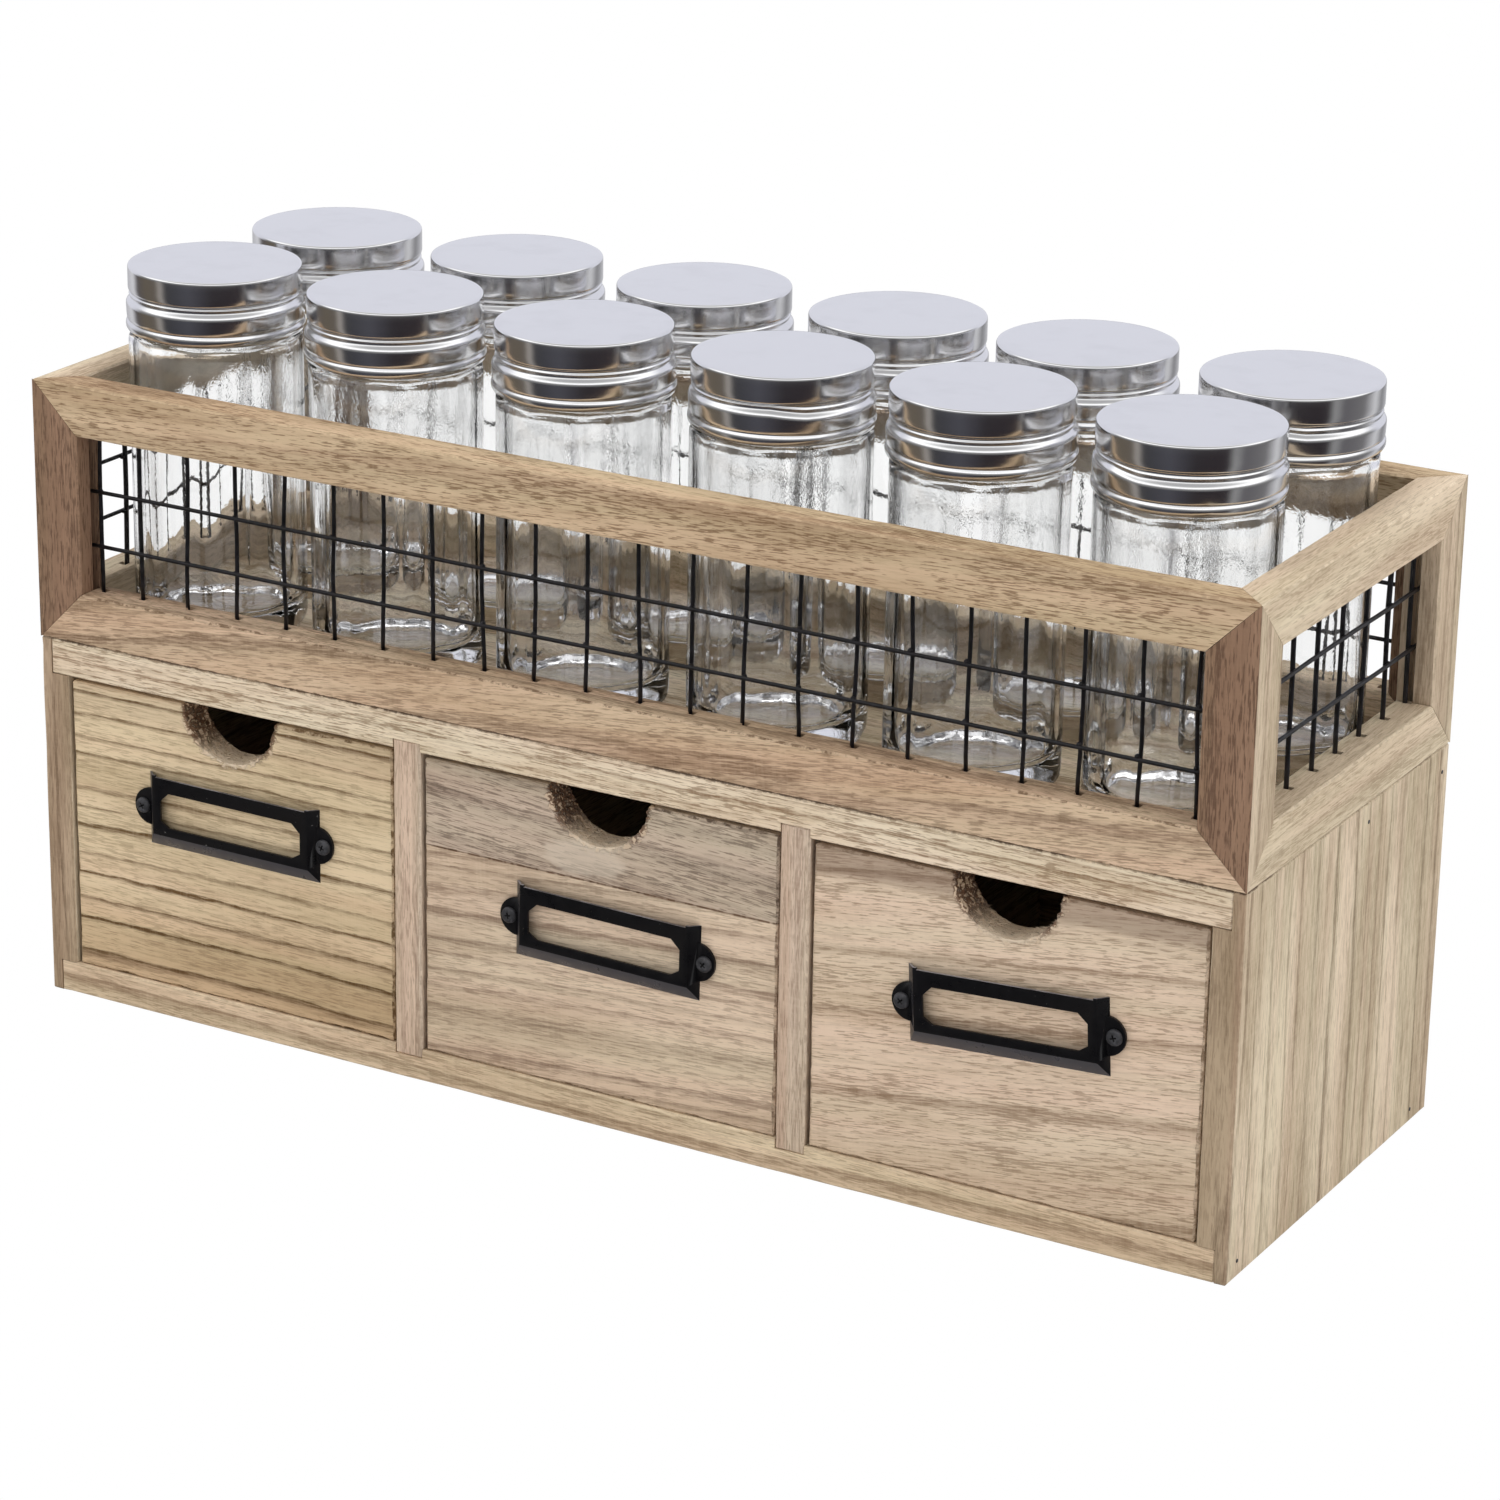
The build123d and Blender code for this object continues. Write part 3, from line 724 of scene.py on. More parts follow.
def tear_notch(bm, centre, seed):
    """Cuts the notch's wall into a grid and roughens it, most at its sides."""
    def on_wall(vert):
        return abs(from_axis(vert.co, centre).length - notch_radius) < 0.2 * mm

    walls = [face for face in bm.faces if abs(face.normal.y) < 0.1 and all(map(on_wall, face.verts))]
    edges = {edge for face in walls for edge in face.edges}
    bmesh.ops.subdivide_edges(bm, edges=list(edges), cuts=wall_cuts, use_grid_fill=True)
    top = max(vert.co.z for vert in bm.verts)
    for vert in bm.verts:
        arm = from_axis(vert.co, centre)
        if not 0.9 * notch_radius < arm.length < 1.01 * notch_radius or abs(arm.x) > notch_radius:
            continue
        side = abs(arm.x) / notch_radius
        lumps = noise.noise(vert.co * 420 + Vector((seed, 0, 0)))
        hairs = noise.noise(Vector((vert.co.x * 600, vert.co.y * 1500, vert.co.z * 1500 + seed)))
        depth = wall_rough * (0.25 + side * side) * (0.7 * lumps + 0.9 * hairs)
        place = centre + arm.normalized() * (notch_radius + depth)
        vert.co.x = place.x
        if vert.co.z < top - 0.1 * mm:
            vert.co.z = place.z


def splinters(low, high, centre, seed):
    """Thin torn fibres on the sides of the notch, each a three-sided spike along the grain."""
    bm = bmesh.new()
    for i in range(splinter_count):
        pick = Vector((noise.noise((i * 1.37, seed, 0.5)), noise.noise((i * 2.11, 3.1, seed)),
                       noise.noise((i * 0.93, seed, 7.7))))
        around = 0.15 + 0.95 * abs(pick.x) ** 0.7
        angle = -math.pi / 2 + (-around if i % 3 else around) * 1.25
        outward = Vector((math.cos(angle), 0, math.sin(angle)))
        if centre.z + outward.z * notch_radius > high.z - 0.4 * mm:
            continue
        foot = centre + outward * (notch_radius + 0.15 * mm)
        foot.y = low.y + (0.06 + 0.88 * abs(math.sin(i * 12.9898 + seed))) * (high.y - low.y)
        lean = Vector((-math.copysign(1.0, outward.x), 0.9 * pick.y, 0.9 * pick.z - 0.15)).normalized()
        size = (0.5 + 1.5 * abs(pick.z)) * mm
        place = Matrix.Translation(foot + lean * size / 2) @ facing(lean)
        bmesh.ops.create_cone(bm, cap_ends=True, segments=3, radius1=0.17 * mm, radius2=0.03 * mm,
                              depth=size, matrix=place)
    return bm


# %% [markdown]
# The notch's torn wall, the weathered top edge, the browner foot, the glue line and the
# putty rubbed in below the middle notch are stains, painted by where a point lies. The
# bottom of the notch's wall is also painted paler than the wood, as painted light where
# the board above shades it.

# %% Stains on the fronts
def glue_stain(g, colour, line):
    """A dotted brown line along a glue line."""
    off = abs(g.xyz()[2] - line)
    dots = g.noise((300, 0, 0)).remap(0.40, 0.55, 0.3, 1.0)
    stain = off.remap(0.42 * mm, 0.14 * mm) * dots
    return g.mix(stain * 0.8, colour, paint(98, 66, 42))


def putty_patch(g, colour, centre):
    """Pale filler rubbed in under the notch of the glued front."""
    arm = g.vector("SUBTRACT", g.at, (centre.x - 4 * mm, 0, centre.z - 18.5 * mm))
    ragged = g.noise((110, 110, 260), 3.0, 0.6) - 0.5
    away = ragged * (9 * mm) + g.length(arm, (0.55, 0, 1.6))
    return g.mix(away.remap(8 * mm, 5 * mm) * 0.5, colour, paint(214, 200, 182))


def aged(g, colour, top, foot, top_share, foot_share):
    """A weathered top edge and a browner foot."""
    height = (g.noise((28, 28, 420), 3.0, 0.6) - 0.5) * (9 * mm) + g.xyz()[2]
    up = height.remap(top - 9 * mm, top - 4 * mm, 0.0, top_share)
    colour = g.mix(up, colour, paint(128, 106, 90))
    down = height.remap(foot + 30 * mm, foot + 6 * mm, 0.0, foot_share)
    return g.mix(down, colour, paint(216, 204, 188), "MULTIPLY")


def torn_wood(name, look, heart, centre, tilt, ages, line):
    """A drawer front's wood, browned on and round the torn wall of the notch, whose bottom is painted pale:
    paler wood, and painted light where the board above shades it.
    """
    g = Material("wood_" + name)
    inputs = dress_wood(g, name, look, "x", heart, tilt)
    colour = aged(g, inputs["Base Color"], *ages)
    if line is not None:
        colour = glue_stain(g, putty_patch(g, colour, centre), line)
    arm = g.vector("SUBTRACT", g.at, centre)
    fuzz = g.noise((520, 640, 640), 2.5, 0.62)
    edge = (fuzz - 0.5) * (6 * mm) + g.length(arm, (1, 0, 1))
    torn = edge.remap(notch_radius + 1.5 * mm, notch_radius + 0.2 * mm)
    brown = abs(g.xyz(arm)[0] / notch_radius).remap(0.35, 0.85)
    # at the bottom of the wall the pale colour is lighter than the wood: painted light where the board above
    # shades the notch
    shade = g.mix(brown, paint(224, 206, 182), paint(100, 70, 50))
    shade = g.mix(fuzz.remap(0.50, 0.57, 0.0, 0.85) * brown, shade, paint(48, 29, 22))
    shade = g.mix(fuzz.remap(0.45, 0.39, 0.0, 0.85), shade, paint(218, 195, 168))
    inputs["Base Color"] = g.mix(torn * 0.9, colour, shade)
    inputs["Normal"] = g.bump(fuzz * torn, 0.9, 0.9 * mm, Normal=inputs["Normal"])
    return g.surface(inputs)


# %% [markdown]
# The strips of a glued front meet at their glue line, so they are taken apart before
# their loose triangles are merged: a triangle that lies in the line belongs to the
# strip that it looks away from. Each strip then has worn edges of its own.

# %% Drawer fronts
fronts = {
    # drawer: heart, the look and tilt of each strip from the top down, aged shares of top and foot
    1: ((1.0, 0.12, 0.025), (("striped", 0.0),), (0.15, 0.6)),
    2: ((2.0, 0.13, 0.08), (("weathered", -3.0), ("grey", 3.5)), (0.0, 0.15)),
    3: ((3.0, 0.05, 0.27), (("pink", 7.0),), (0.55, 0.0)),
}
front_wear = 0.5 * mm
front_step = 1.6 * mm
front_seam_below = 23.0 * mm
seam_wear = 0.16 * mm
seam_cuts = 50
next_strip = Vector((0.7, 0.03, 0.05))
tiny = 0.01 * mm


def keep_strip(bm, line, upper):
    """Leaves one strip of a front; line is the height of its glue line."""
    other = []
    for face in bm.faces:
        above = face.calc_center_median().z - line
        is_upper = above > tiny or (abs(above) <= tiny and face.normal.z < 0)
        if is_upper != upper:
            other.append(face)
    bmesh.ops.delete(bm, geom=other, context="FACES")


def wear_seam(bm, line, seed):
    """Cuts the long edges at the glue line short and wears them unevenly."""
    def at_line(vert):
        return abs(vert.co.z - line) < tiny

    near = [edge for edge in bm.edges if all(map(at_line, edge.verts)) and edge.calc_length() > 20 * mm]
    bmesh.ops.bisect_edges(bm, edges=near, cuts=seam_cuts)
    for vert in filter(at_line, bm.verts):
        rough = noise.noise(Vector((vert.co.x * 700, seed, 0))) + 0.4
        middle = sum(edge.other_vert(vert).co.z for edge in vert.link_edges) / len(vert.link_edges)
        vert.co.z += math.copysign(seam_wear * max(0.05, rough), middle - line)


def front_strips(number):
    """A drawer's front, strip by strip, with uneven edges and a torn notch."""
    drawer = f"drawer_{number}"
    node = drawer + "_front"
    heart, strips, shares = fronts[number]
    low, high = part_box(node)
    centre = Vector(((low.x + high.x) / 2, 0, high.z + notch_above_edge))
    glued = len(strips) > 1
    line = high.z - front_seam_below
    for i, (look, tilt) in enumerate(strips):
        bm = solid_copy(node)
        if glued:
            keep_strip(bm, line, upper=i == 0)
        merge_flats(bm)
        corners = wander_corners(bm, front_wear, front_step, seed=number * 7 + i)
        if i == 0:
            tear_notch(bm, centre, seed=number * 3.7)
        if glued:
            wear_seam(bm, line, seed=number + i)
        mark_corners(bm, corners)
        name = f"{drawer}_strip_{i + 1}"
        strip_wood = torn_wood(name, look, Vector(heart) + next_strip * i, centre, tilt,
                               (high.z, low.z, *shares), line if glued else None)
        yield new_piece(name, bm, strip_wood, drawer, node, smooth=False)
        if i == 0:
            fuzz = splinters(low, high, centre, seed=number * 1.9)
            new_piece(drawer + "_notch_splinters", fuzz, strip_wood, drawer, smooth=False)


for number in fronts:
    print("drawer front", number, "faces of its strips", list(front_strips(number)))

# %% [markdown]
# ## Label holders
#
# Each holder is pressed from thin steel and lacquered black. The piece is a copy of its
# solid with the flanges opened a little wider, the window stretched with them, and the
# bends and edges rounded by a small bevel. The lacquer is satin, a little uneven, and
# rubbed through to bare steel in a few small spots. A broken pale line along the top
# edge is a painted highlight. The lower and the left flange catch light from the white
# floor, which mirrors do not see, so an attribute named tone marks them as paler, a
# painted reflection.

# %% Black lacquer
def black_lacquer():
    g = Material("black_lacquer")
    cloud = g.noise((260, 260, 260), 3.0)
    tone = g.attribute("tone")
    colour = g.mix(cloud, paint(9, 9, 11), paint(20, 19, 22))
    # faces marked by tone are painted grey: a painted reflection of the white floor on the lower and left
    # flanges, and on the top faces part of the painted highlight
    colour = g.mix(tone.times(1.0), colour, paint(70, 69, 73))
    # rubbed: the noise that breaks up the painted highlight along the top edge
    rubbed = g.noise((120, 120, 0), 3.0).remap(0.42, 0.55, 0.2, 0.9)
    top_highlight = tone.math("SUBTRACT", 1.0, clamp=True) * rubbed
    colour = g.mix(top_highlight, colour, paint(150, 147, 152))
    chip = g.noise((900, 900, 900), 3.0, 0.7).remap(0.715, 0.75)
    colour = g.mix(chip, colour, paint(150, 148, 146))
    return g.surface({"Base Color": colour, "Roughness": cloud.remap(0.3, 0.7, 0.26, 0.40),
                      "Normal": g.bump(g.noise((2200, 2200, 2200)), 0.10, 0.1 * mm),
                      "Specular IOR Level": 0.30})


def flange_painted_light(face, middle):
    """How much painted light a holder's face gets: 0 is black, 1 is a grey painted reflection of the white
    floor, and above 1 adds a painted highlight on the top edge.
    """
    if face.normal.z > 0.7 and face.calc_center_median().z > middle + 7.5 * mm:
        return 1.8
    if face.normal.y < -0.4 and face.normal.z < -0.35:
        return 1.0
    return 0.35 if face.normal.y < -0.4 and face.normal.x < -0.4 else 0.0


# %% [markdown]
# The holders were screwed on by hand and tilt, so a holder is first turned level. Its
# sizes are in millimetres there, from the middle of its width and height, with the
# depth from 0 at its face to 1 at the wood. A flange is a start and a lean: its edge
# at the face, and how much further out it is at the wood.

# %% Opened flanges
sheet = 0.7
stand = 2.4
holder_low = 9.3
ear_centre = 26.0
ear_radius = 5.0
lower_flange, lower_opened = (8.0, 1.3), (6.7, 3.7)
side_flange, side_opened = (24.1, 1.3), (24.3, 2.3)
window_reach, window_stretch = 20.7, 1.068
window_foot, window_foot_opened = -5.2, -4.4
plate_corner, plate_corner_opened = 22.5, 23.4
plate_depth = 0.32     # the plate's own faces lie nearer to the front than this
ear_low, ear_high = 4.0, 5.2


def flange_at(flange, depth):
    start, lean = flange
    return start + lean * depth


def level_frame(bm):
    """The matrix that takes a holder to its own level axes, in millimetres."""
    points = [(vert.co.x, vert.co.z) for vert in bm.verts]
    x, z = (sum(values) / len(points) for values in zip(*points))
    mixed = sum((a - x) * (b - z) for a, b in points)
    spread = sum((a - x) ** 2 - (b - z) ** 2 for a, b in points)
    turn = Matrix.Rotation(math.atan2(2 * mixed, spread) / 2, 4, "Y")
    xs, ys, zs = zip(*(turn @ vert.co for vert in bm.verts))
    shift = Matrix.Translation((-(min(xs) + max(xs)) / 2, -min(ys), -min(zs) - holder_low * mm))
    return Matrix.Scale(1 / mm, 4) @ shift @ turn


def open_flanges(bm):
    """Leans the lower and side flanges further out and stretches the window."""
    level = level_frame(bm)
    back = level.inverted()
    for vert in bm.verts:
        point = level @ vert.co
        side, reach, depth = math.copysign(1, point.x), abs(point.x), point.y / stand
        for inner in (0, sheet):
            if abs(point.z + flange_at(lower_flange, depth) - inner) < 0.06:
                point.z = inner - flange_at(lower_opened, depth)
            if abs(reach - flange_at(side_flange, depth) + inner) < 0.12:
                reach = flange_at(side_opened, depth) - inner
        if depth < plate_depth and abs(point.x) < window_reach:
            reach *= window_stretch
            point.z = window_foot_opened if abs(point.z - window_foot) < 0.1 else point.z
        elif depth < plate_depth and abs(reach - plate_corner) < 0.1:
            reach = plate_corner_opened
        edge = flange_at(side_opened, depth)
        if depth > 0.6 and ear_low < abs(point.z) < ear_high and reach < edge + 0.05:
            reach = edge
            point.z = math.copysign(math.sqrt(ear_radius ** 2 - (ear_centre - reach) ** 2), point.z)
        point.x = side * reach
        vert.co = back @ point
    bmesh.ops.remove_doubles(bm, verts=bm.verts, dist=0.004 * mm)
    bm.normal_update()


def soft_edges(bm, offset, sharper_than=math.radians(25)):
    """Rounds every edge that turns by more than an angle."""
    edges = [edge for edge in bm.edges if len(edge.link_faces) == 2 and edge.calc_face_angle() > sharper_than]
    bmesh.ops.bevel(bm, geom=edges, offset=offset, segments=2, profile=0.5, affect="EDGES",
                    material=-1, clamp_overlap=True)
    bm.normal_update()


lacquer = black_lacquer()
for number in (1, 2, 3):
    node = f"drawer_{number}_label_holder"
    bm = merge_flats(solid_copy(node))
    open_flanges(bm)
    soft_edges(bm, 0.16 * mm)
    middle = sum(corner.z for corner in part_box(node)) / 2
    mark_faces(bm, "tone", [flange_painted_light(face, middle) for face in bm.faces])
    count = new_piece(node + "_pressed", bm, lacquer, f"drawer_{number}", node)
    print("label holder", number, "faces", count)

# %% [markdown]
# The screws are small pan heads. A profile spun round its axis gives the head, and a
# tapered cross taken out of it gives the drive, whose faces are painted nearly black
# as painted shade in the recess.

# %% Label screws
screw_radius = 2.1 * mm
screw_rise = 1.15 * mm
screw_shank = 0.9 * mm
screw_long = 6.0 * mm
cross_long = 2.3 * mm
cross_wide = 0.5 * mm
cross_turns = ((0.5, 1.2), (0.2, 0.9), (0.75, 0.35))


def blackened_steel():
    g = Material("blackened_steel")
    rub = g.noise((700, 700, 700), 3.0)
    colour = g.mix(rub.remap(0.4, 0.7), paint(58, 58, 61), paint(78, 78, 82))
    # the faces inside the cross drive are painted nearly black: painted shade in the recess
    colour = g.mix(g.attribute("drive"), colour, paint(6, 6, 7))
    return g.surface({"Base Color": colour, "Roughness": rub.remap(0.3, 0.7, 0.45, 0.60), "Metallic": 0.25})


def spun(profile, steps):
    """A bmesh spun round z from (radius, height) points; points on the axis are merged."""
    bm = bmesh.new()
    verts = [bm.verts.new((radius, 0, height)) for radius, height in profile]
    edges = [bm.edges.new(pair) for pair in zip(verts, verts[1:])]
    bmesh.ops.spin(bm, geom=verts + edges, cent=(0, 0, 0), axis=(0, 0, 1), angle=math.tau,
                   steps=steps, use_merge=True)
    bmesh.ops.remove_doubles(bm, verts=bm.verts, dist=0.001 * mm)
    bmesh.ops.recalc_face_normals(bm, faces=bm.faces)
    return bm


def cut_away(bm, cutter):
    """A bmesh with a second one taken out of it by the Boolean modifier."""
    body, tool = (link(bpy.data.objects.new(name, new_mesh(name, part)))
                  for name, part in (("cut_body", bm), ("cut_tool", cutter)))
    modifier = body.modifiers.new("cut", "BOOLEAN")
    modifier.object = tool
    modifier.operation = "DIFFERENCE"
    modifier.solver = "EXACT"
    modifier.use_self = True
    bpy.context.view_layer.update()
    shown = body.evaluated_get(bpy.context.evaluated_depsgraph_get())
    result = bmesh.new()
    result.from_mesh(shown.to_mesh())
    for thing in (body, tool):
        bpy.data.objects.remove(thing)
    return result


def screw_shape():
    """A pan head with a cross drive and a plain shank, its head's underside at z = 0."""
    shank = [(0, -1), (0.3, -1), (1, -0.8), (1, 0)]
    head = [(1, 0), (1, 0.4), (0.93, 0.75), (0.7, 0.95), (0.35, 1), (0, 1)]
    profile = [(radius * screw_shank, height * screw_long) for radius, height in shank]
    profile += [(radius * screw_radius, height * screw_rise) for radius, height in head]
    cross = bmesh.new()
    for turn in (0, math.pi / 2):
        arm = bmesh.ops.create_cube(cross, size=1)["verts"]
        bmesh.ops.scale(cross, vec=(cross_long, cross_wide, screw_rise * 1.2), verts=arm)
        foot = [vert for vert in arm if vert.co.z < 0]
        bmesh.ops.scale(cross, vec=(0.45, 0.6, 1), verts=foot)
        bmesh.ops.translate(cross, vec=(0, 0, screw_rise * 0.95), verts=arm)
        bmesh.ops.rotate(cross, cent=(0, 0, 0), matrix=Matrix.Rotation(turn, 3, "Z"), verts=arm)
    return cut_away(spun(profile, 28), cross)


def add_copy(bm, pattern, place):
    """Adds a pattern mesh to a bmesh at a place."""
    start = len(bm.verts)
    bm.from_mesh(pattern)
    bm.verts.ensure_lookup_table()
    bmesh.ops.transform(bm, matrix=place, verts=bm.verts[start:])


def in_drive(face, places, front):
    """1 for a face inside one of the crosses, which is painted dark as shade, and 0 for the others."""
    centre = face.calc_center_median()
    aside = min(math.hypot(centre.x - x, centre.z - z) for x, z in places)
    return float(0.1 * mm < centre.y - front < 0.99 * screw_rise and aside < 0.52 * cross_long)


steel = blackened_steel()
screw_pattern = new_mesh("screw_pattern", screw_shape())
for number, turns in enumerate(cross_turns, 1):
    node = f"drawer_{number}_label_screws"
    low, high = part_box(node)
    bm = bmesh.new()
    places = []
    for x, turn in zip((low.x + screw_radius, high.x - screw_radius), turns):
        ends = [vert.co.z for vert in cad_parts[node].data.vertices
                if abs(vert.co.x - x) < screw_radius * 1.1]
        z = (min(ends) + max(ends)) / 2
        turned = Matrix.Rotation(math.pi / 2, 4, "X") @ Matrix.Rotation(turn, 4, "Z")
        add_copy(bm, screw_pattern, Matrix.Translation((x, low.y + screw_rise, z)) @ turned)
        places.append((x, z))
    mark_faces(bm, "drive", [in_drive(face, places, low.y) for face in bm.faces])
    count = new_piece(node + "_crossed", bm, steel, f"drawer_{number}", node)
    print("label screws", number, "faces", count)
bpy.data.meshes.remove(screw_pattern)

# %% [markdown]
# Small brads hold the side boards and the mitres. Their heads are pressed flush and
# show as dots, so each brad in the side boards is a short steel cylinder that stands
# out by a hair.

# %% Brads
brad_radius = 0.5 * mm
brad_long = 1.0 * mm
brad_rise = 0.04 * mm
brad_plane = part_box("cabinet_right_side")[1].x
brad_places = [(-53.8, 4.4), (50.8, 3.6), (57.5, 92.2), (11.4, 93.8)]     # y and z in millimetres


def brad_heads():
    """Short cylinders on the right side and, mirrored, on the left one."""
    bm = bmesh.new()
    for y, z in brad_places:
        for side in (-1, 1):
            middle = (side * (brad_plane + brad_rise - brad_long / 2), y * mm, z * mm)
            place = Matrix.Translation(middle) @ Matrix.Rotation(math.pi / 2, 4, "Y")
            bmesh.ops.create_cone(bm, cap_ends=True, segments=12, radius1=brad_radius,
                                  radius2=brad_radius, depth=brad_long, matrix=place)
    return new_piece("brad_heads", bm, steel, "cabinet")


print("brads", 2 * len(brad_places), "faces", brad_heads())

# %% [markdown]
# ## Wire mesh
#
# The tray's sides are welded wire. Every wire was straight once: now each leans a
# little and kinks at its welds. A wire is a small circle extruded from point to point,
# and each weld is a small lump of lacquer where two wires cross.

# %% Wire mesh helpers
wire_radius = 0.55 * mm
end_upright_radius = 0.66 * mm
wire_sides = 8
wire_lean = 0.55 * mm
wire_in_kerf = 2.6 * mm
frame_width = 13.5 * mm
kerf_from_face = 6.4 * mm
kerf_width = 2.4 * mm
plug_high = 3.0 * mm
tray_low, tray_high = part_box("tray_long_stiles")


def black_wire():
    g = Material("black_wire")
    cloud = g.noise((500, 500, 500), 3.0)
    colour = g.mix(cloud.remap(0.35, 0.7), paint(12, 11, 14), paint(28, 26, 31))
    return g.surface({"Base Color": colour, "Roughness": cloud.remap(0.3, 0.7, 0.36, 0.55),
                      "Normal": g.bump(cloud, 0.25, 0.1 * mm)})


def add_wire(bm, points, radius):
    """Extrudes a circle from point to point and closes both ends."""
    place = Matrix.Translation(points[0]) @ facing((points[-1] - points[0]).normalized())
    ring = bmesh.ops.create_circle(bm, cap_ends=True, segments=wire_sides, radius=radius,
                                   matrix=place)["verts"]
    edges = list(ring[0].link_faces[0].edges)
    for before, after in zip(points, points[1:]):
        edges, verts = extrude_ring(bm, edges)
        bmesh.ops.translate(bm, vec=after - before, verts=verts)
    bmesh.ops.edgeloop_fill(bm, edges=edges)


def extrude_ring(bm, edges):
    """Extrudes a closed ring of edges; returns the new ring's edges and points."""
    made = bmesh.ops.extrude_edge_only(bm, edges=edges)["geom"]
    verts = [part for part in made if isinstance(part, bmesh.types.BMVert)]
    fresh = set(verts)
    ring = [part for part in made if isinstance(part, bmesh.types.BMEdge) and fresh.issuperset(part.verts)]
    return ring, verts


def bent(start, end, sideways, steps, seed):
    """Points from start to end, off the straight line by a smooth small lean."""
    points = []
    for station in (i / steps for i in range(steps + 1)):
        off = noise.noise(Vector((station * 1.7, seed * 3.1, 0.4))) * wire_lean
        kink = noise.noise(Vector((station * 6.0, seed * 1.3, 5.0))) * wire_lean * 0.35
        points.append(start.lerp(end, station) + sideways * (off * 1.6 + kink))
    return points


def kerf_plugs(run, uprights, place):
    """Wood left standing in the bottom rail's kerf between the wires, with a nick at each foot."""
    bm = bmesh.new()
    starts = [frame_width] + [x + 1.5 * mm for x in uprights]
    ends = [x - 0.4 * mm for x in uprights] + [run - frame_width]
    for left, right in zip(starts, ends):
        middle = ((left + right) / 2, kerf_from_face, frame_width - plug_high / 2 - 0.08 * mm)
        stretch = Matrix.Diagonal((right - left, kerf_width, plug_high, 1))
        bmesh.ops.create_cube(bm, size=1, matrix=place @ Matrix.Translation(middle) @ stretch)
    return bm


def wire_side(run, uprights, crossings, place, upright_radius, seed):
    """Wires for one side, drawn along x from the side's left end and then put in place."""
    bm = bmesh.new()
    low = frame_width - wire_in_kerf
    high = (tray_high.z - tray_low.z) - low
    behind = kerf_from_face + wire_radius * 0.9
    before = kerf_from_face - wire_radius * 0.9
    for i, x in enumerate(uprights):
        ends = Vector((x, behind, low)), Vector((x, behind, high))
        add_wire(bm, bent(*ends, Vector((1, 0, 0)), 8, seed + i), upright_radius)
    for i, z in enumerate(crossings):
        ends = Vector((low, before, z)), Vector((run - low, before, z))
        add_wire(bm, bent(*ends, Vector((0, 0, 1)), 30, seed + 40 + i), wire_radius)
    for x in uprights:
        for z in crossings:
            lump = Matrix.Translation((x, kerf_from_face, z)) @ Matrix.Diagonal((1.25, 1.7, 1.25, 1))
            bmesh.ops.create_icosphere(bm, subdivisions=2, radius=wire_radius, matrix=lump)
    bmesh.ops.recalc_face_normals(bm, faces=bm.faces)
    bmesh.ops.transform(bm, matrix=place, verts=bm.verts)
    return bm


# %% Wire meshes
end_low, end_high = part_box("tray_end_stiles")
long_side = (
    # run, uprights, crossings and the uprights' radius
    tray_high.x - tray_low.x, [15.8 * mm] + [(28.1 + 14.9 * i) * mm for i in range(21)],
    (25.4 * mm, 40.2 * mm), wire_radius)
end_side = (
    end_high.y - end_low.y, [(21.1 + 14.3 * i) * mm for i in range(7)],
    (27.7 * mm, 42.5 * mm), end_upright_radius)
sides = {
    # side: its wires, corner, turn in degrees, and the rail below
    "front": (long_side, (tray_low.x, end_low.y), 0, "tray_front_bottom_rail"),
    "back": (long_side, (tray_high.x, end_high.y), 180, "tray_back_bottom_rail"),
    "left": (end_side, (tray_low.x, end_high.y), -90, "tray_left_rails"),
    "right": (end_side, (tray_high.x, end_low.y), 90, "tray_right_rails"),
}
wire_black = black_wire()
for side, ((run, uprights, crossings, radius), corner, degrees, rail) in sides.items():
    node = f"tray_{side}_mesh"
    place = Matrix.Translation((*corner, tray_low.z)) @ Matrix.Rotation(math.radians(degrees), 4, "Z")
    bm = wire_side(run, uprights, crossings, place, radius, seed=sum(map(ord, node)) % 29)
    print(node, "faces", new_piece(node + "_wires", bm, wire_black, "cabinet", node))
    plugs = kerf_plugs(run, uprights, place)
    new_piece(f"tray_{side}_kerf_plugs", plugs, board_woods[rail], "cabinet", smooth=False)

# %% [markdown]
# ## Lids
#
# A lid is drawn from tinplate: a flat top with a tight rounded edge, a smooth band to
# grip, a rolled thread, a wider skirt and a curled foot. The profile is spun, and then
# the points between band and foot climb as the thread goes round, with a short step
# where it starts. Flat upright parts mirror the dark screens, and only the narrow
# shoulders that look up mirror the sky, so they show as thin bright lines.

# %% Lids
lid_profile = (
    # radius and height in millimetres: top and band
    [(0.0, 17.0), (12.0, 17.01), (21.0, 17.0), (21.8, 16.97), (22.1, 16.82), (22.25, 16.55), (22.3, 16.2)]
    + [(22.3, 14.5), (22.3, 12.5), (22.3, 11.1), (22.22, 10.75), (22.0, 10.5), (21.78, 10.3), (21.7, 10.0)]
    # thread and skirt
    + [(21.8, 9.75), (22.05, 9.6), (22.1, 9.4), (22.0, 9.2), (21.75, 9.0), (21.7, 8.75), (21.85, 8.45)]
    + [(22.3, 8.05), (22.65, 7.65), (22.82, 7.25), (22.86, 6.8), (22.84, 6.0), (22.8, 5.0), (22.76, 4.0)]
    # curled foot
    + [(22.7, 3.5), (22.55, 3.2), (22.42, 3.0), (22.5, 2.8), (22.8, 2.5), (22.96, 2.1), (23.0, 1.6)]
    + [(22.92, 1.0), (22.65, 0.5), (22.2, 0.15), (21.6, 0.02), (21.2, 0.3), (21.0, 0.9)]
    # inside and underside of the top
    + [(20.9, 8.0), (20.9, 15.6), (20.5, 16.1), (12.0, 16.15), (0.0, 16.15)]
)
lid_steps = 128
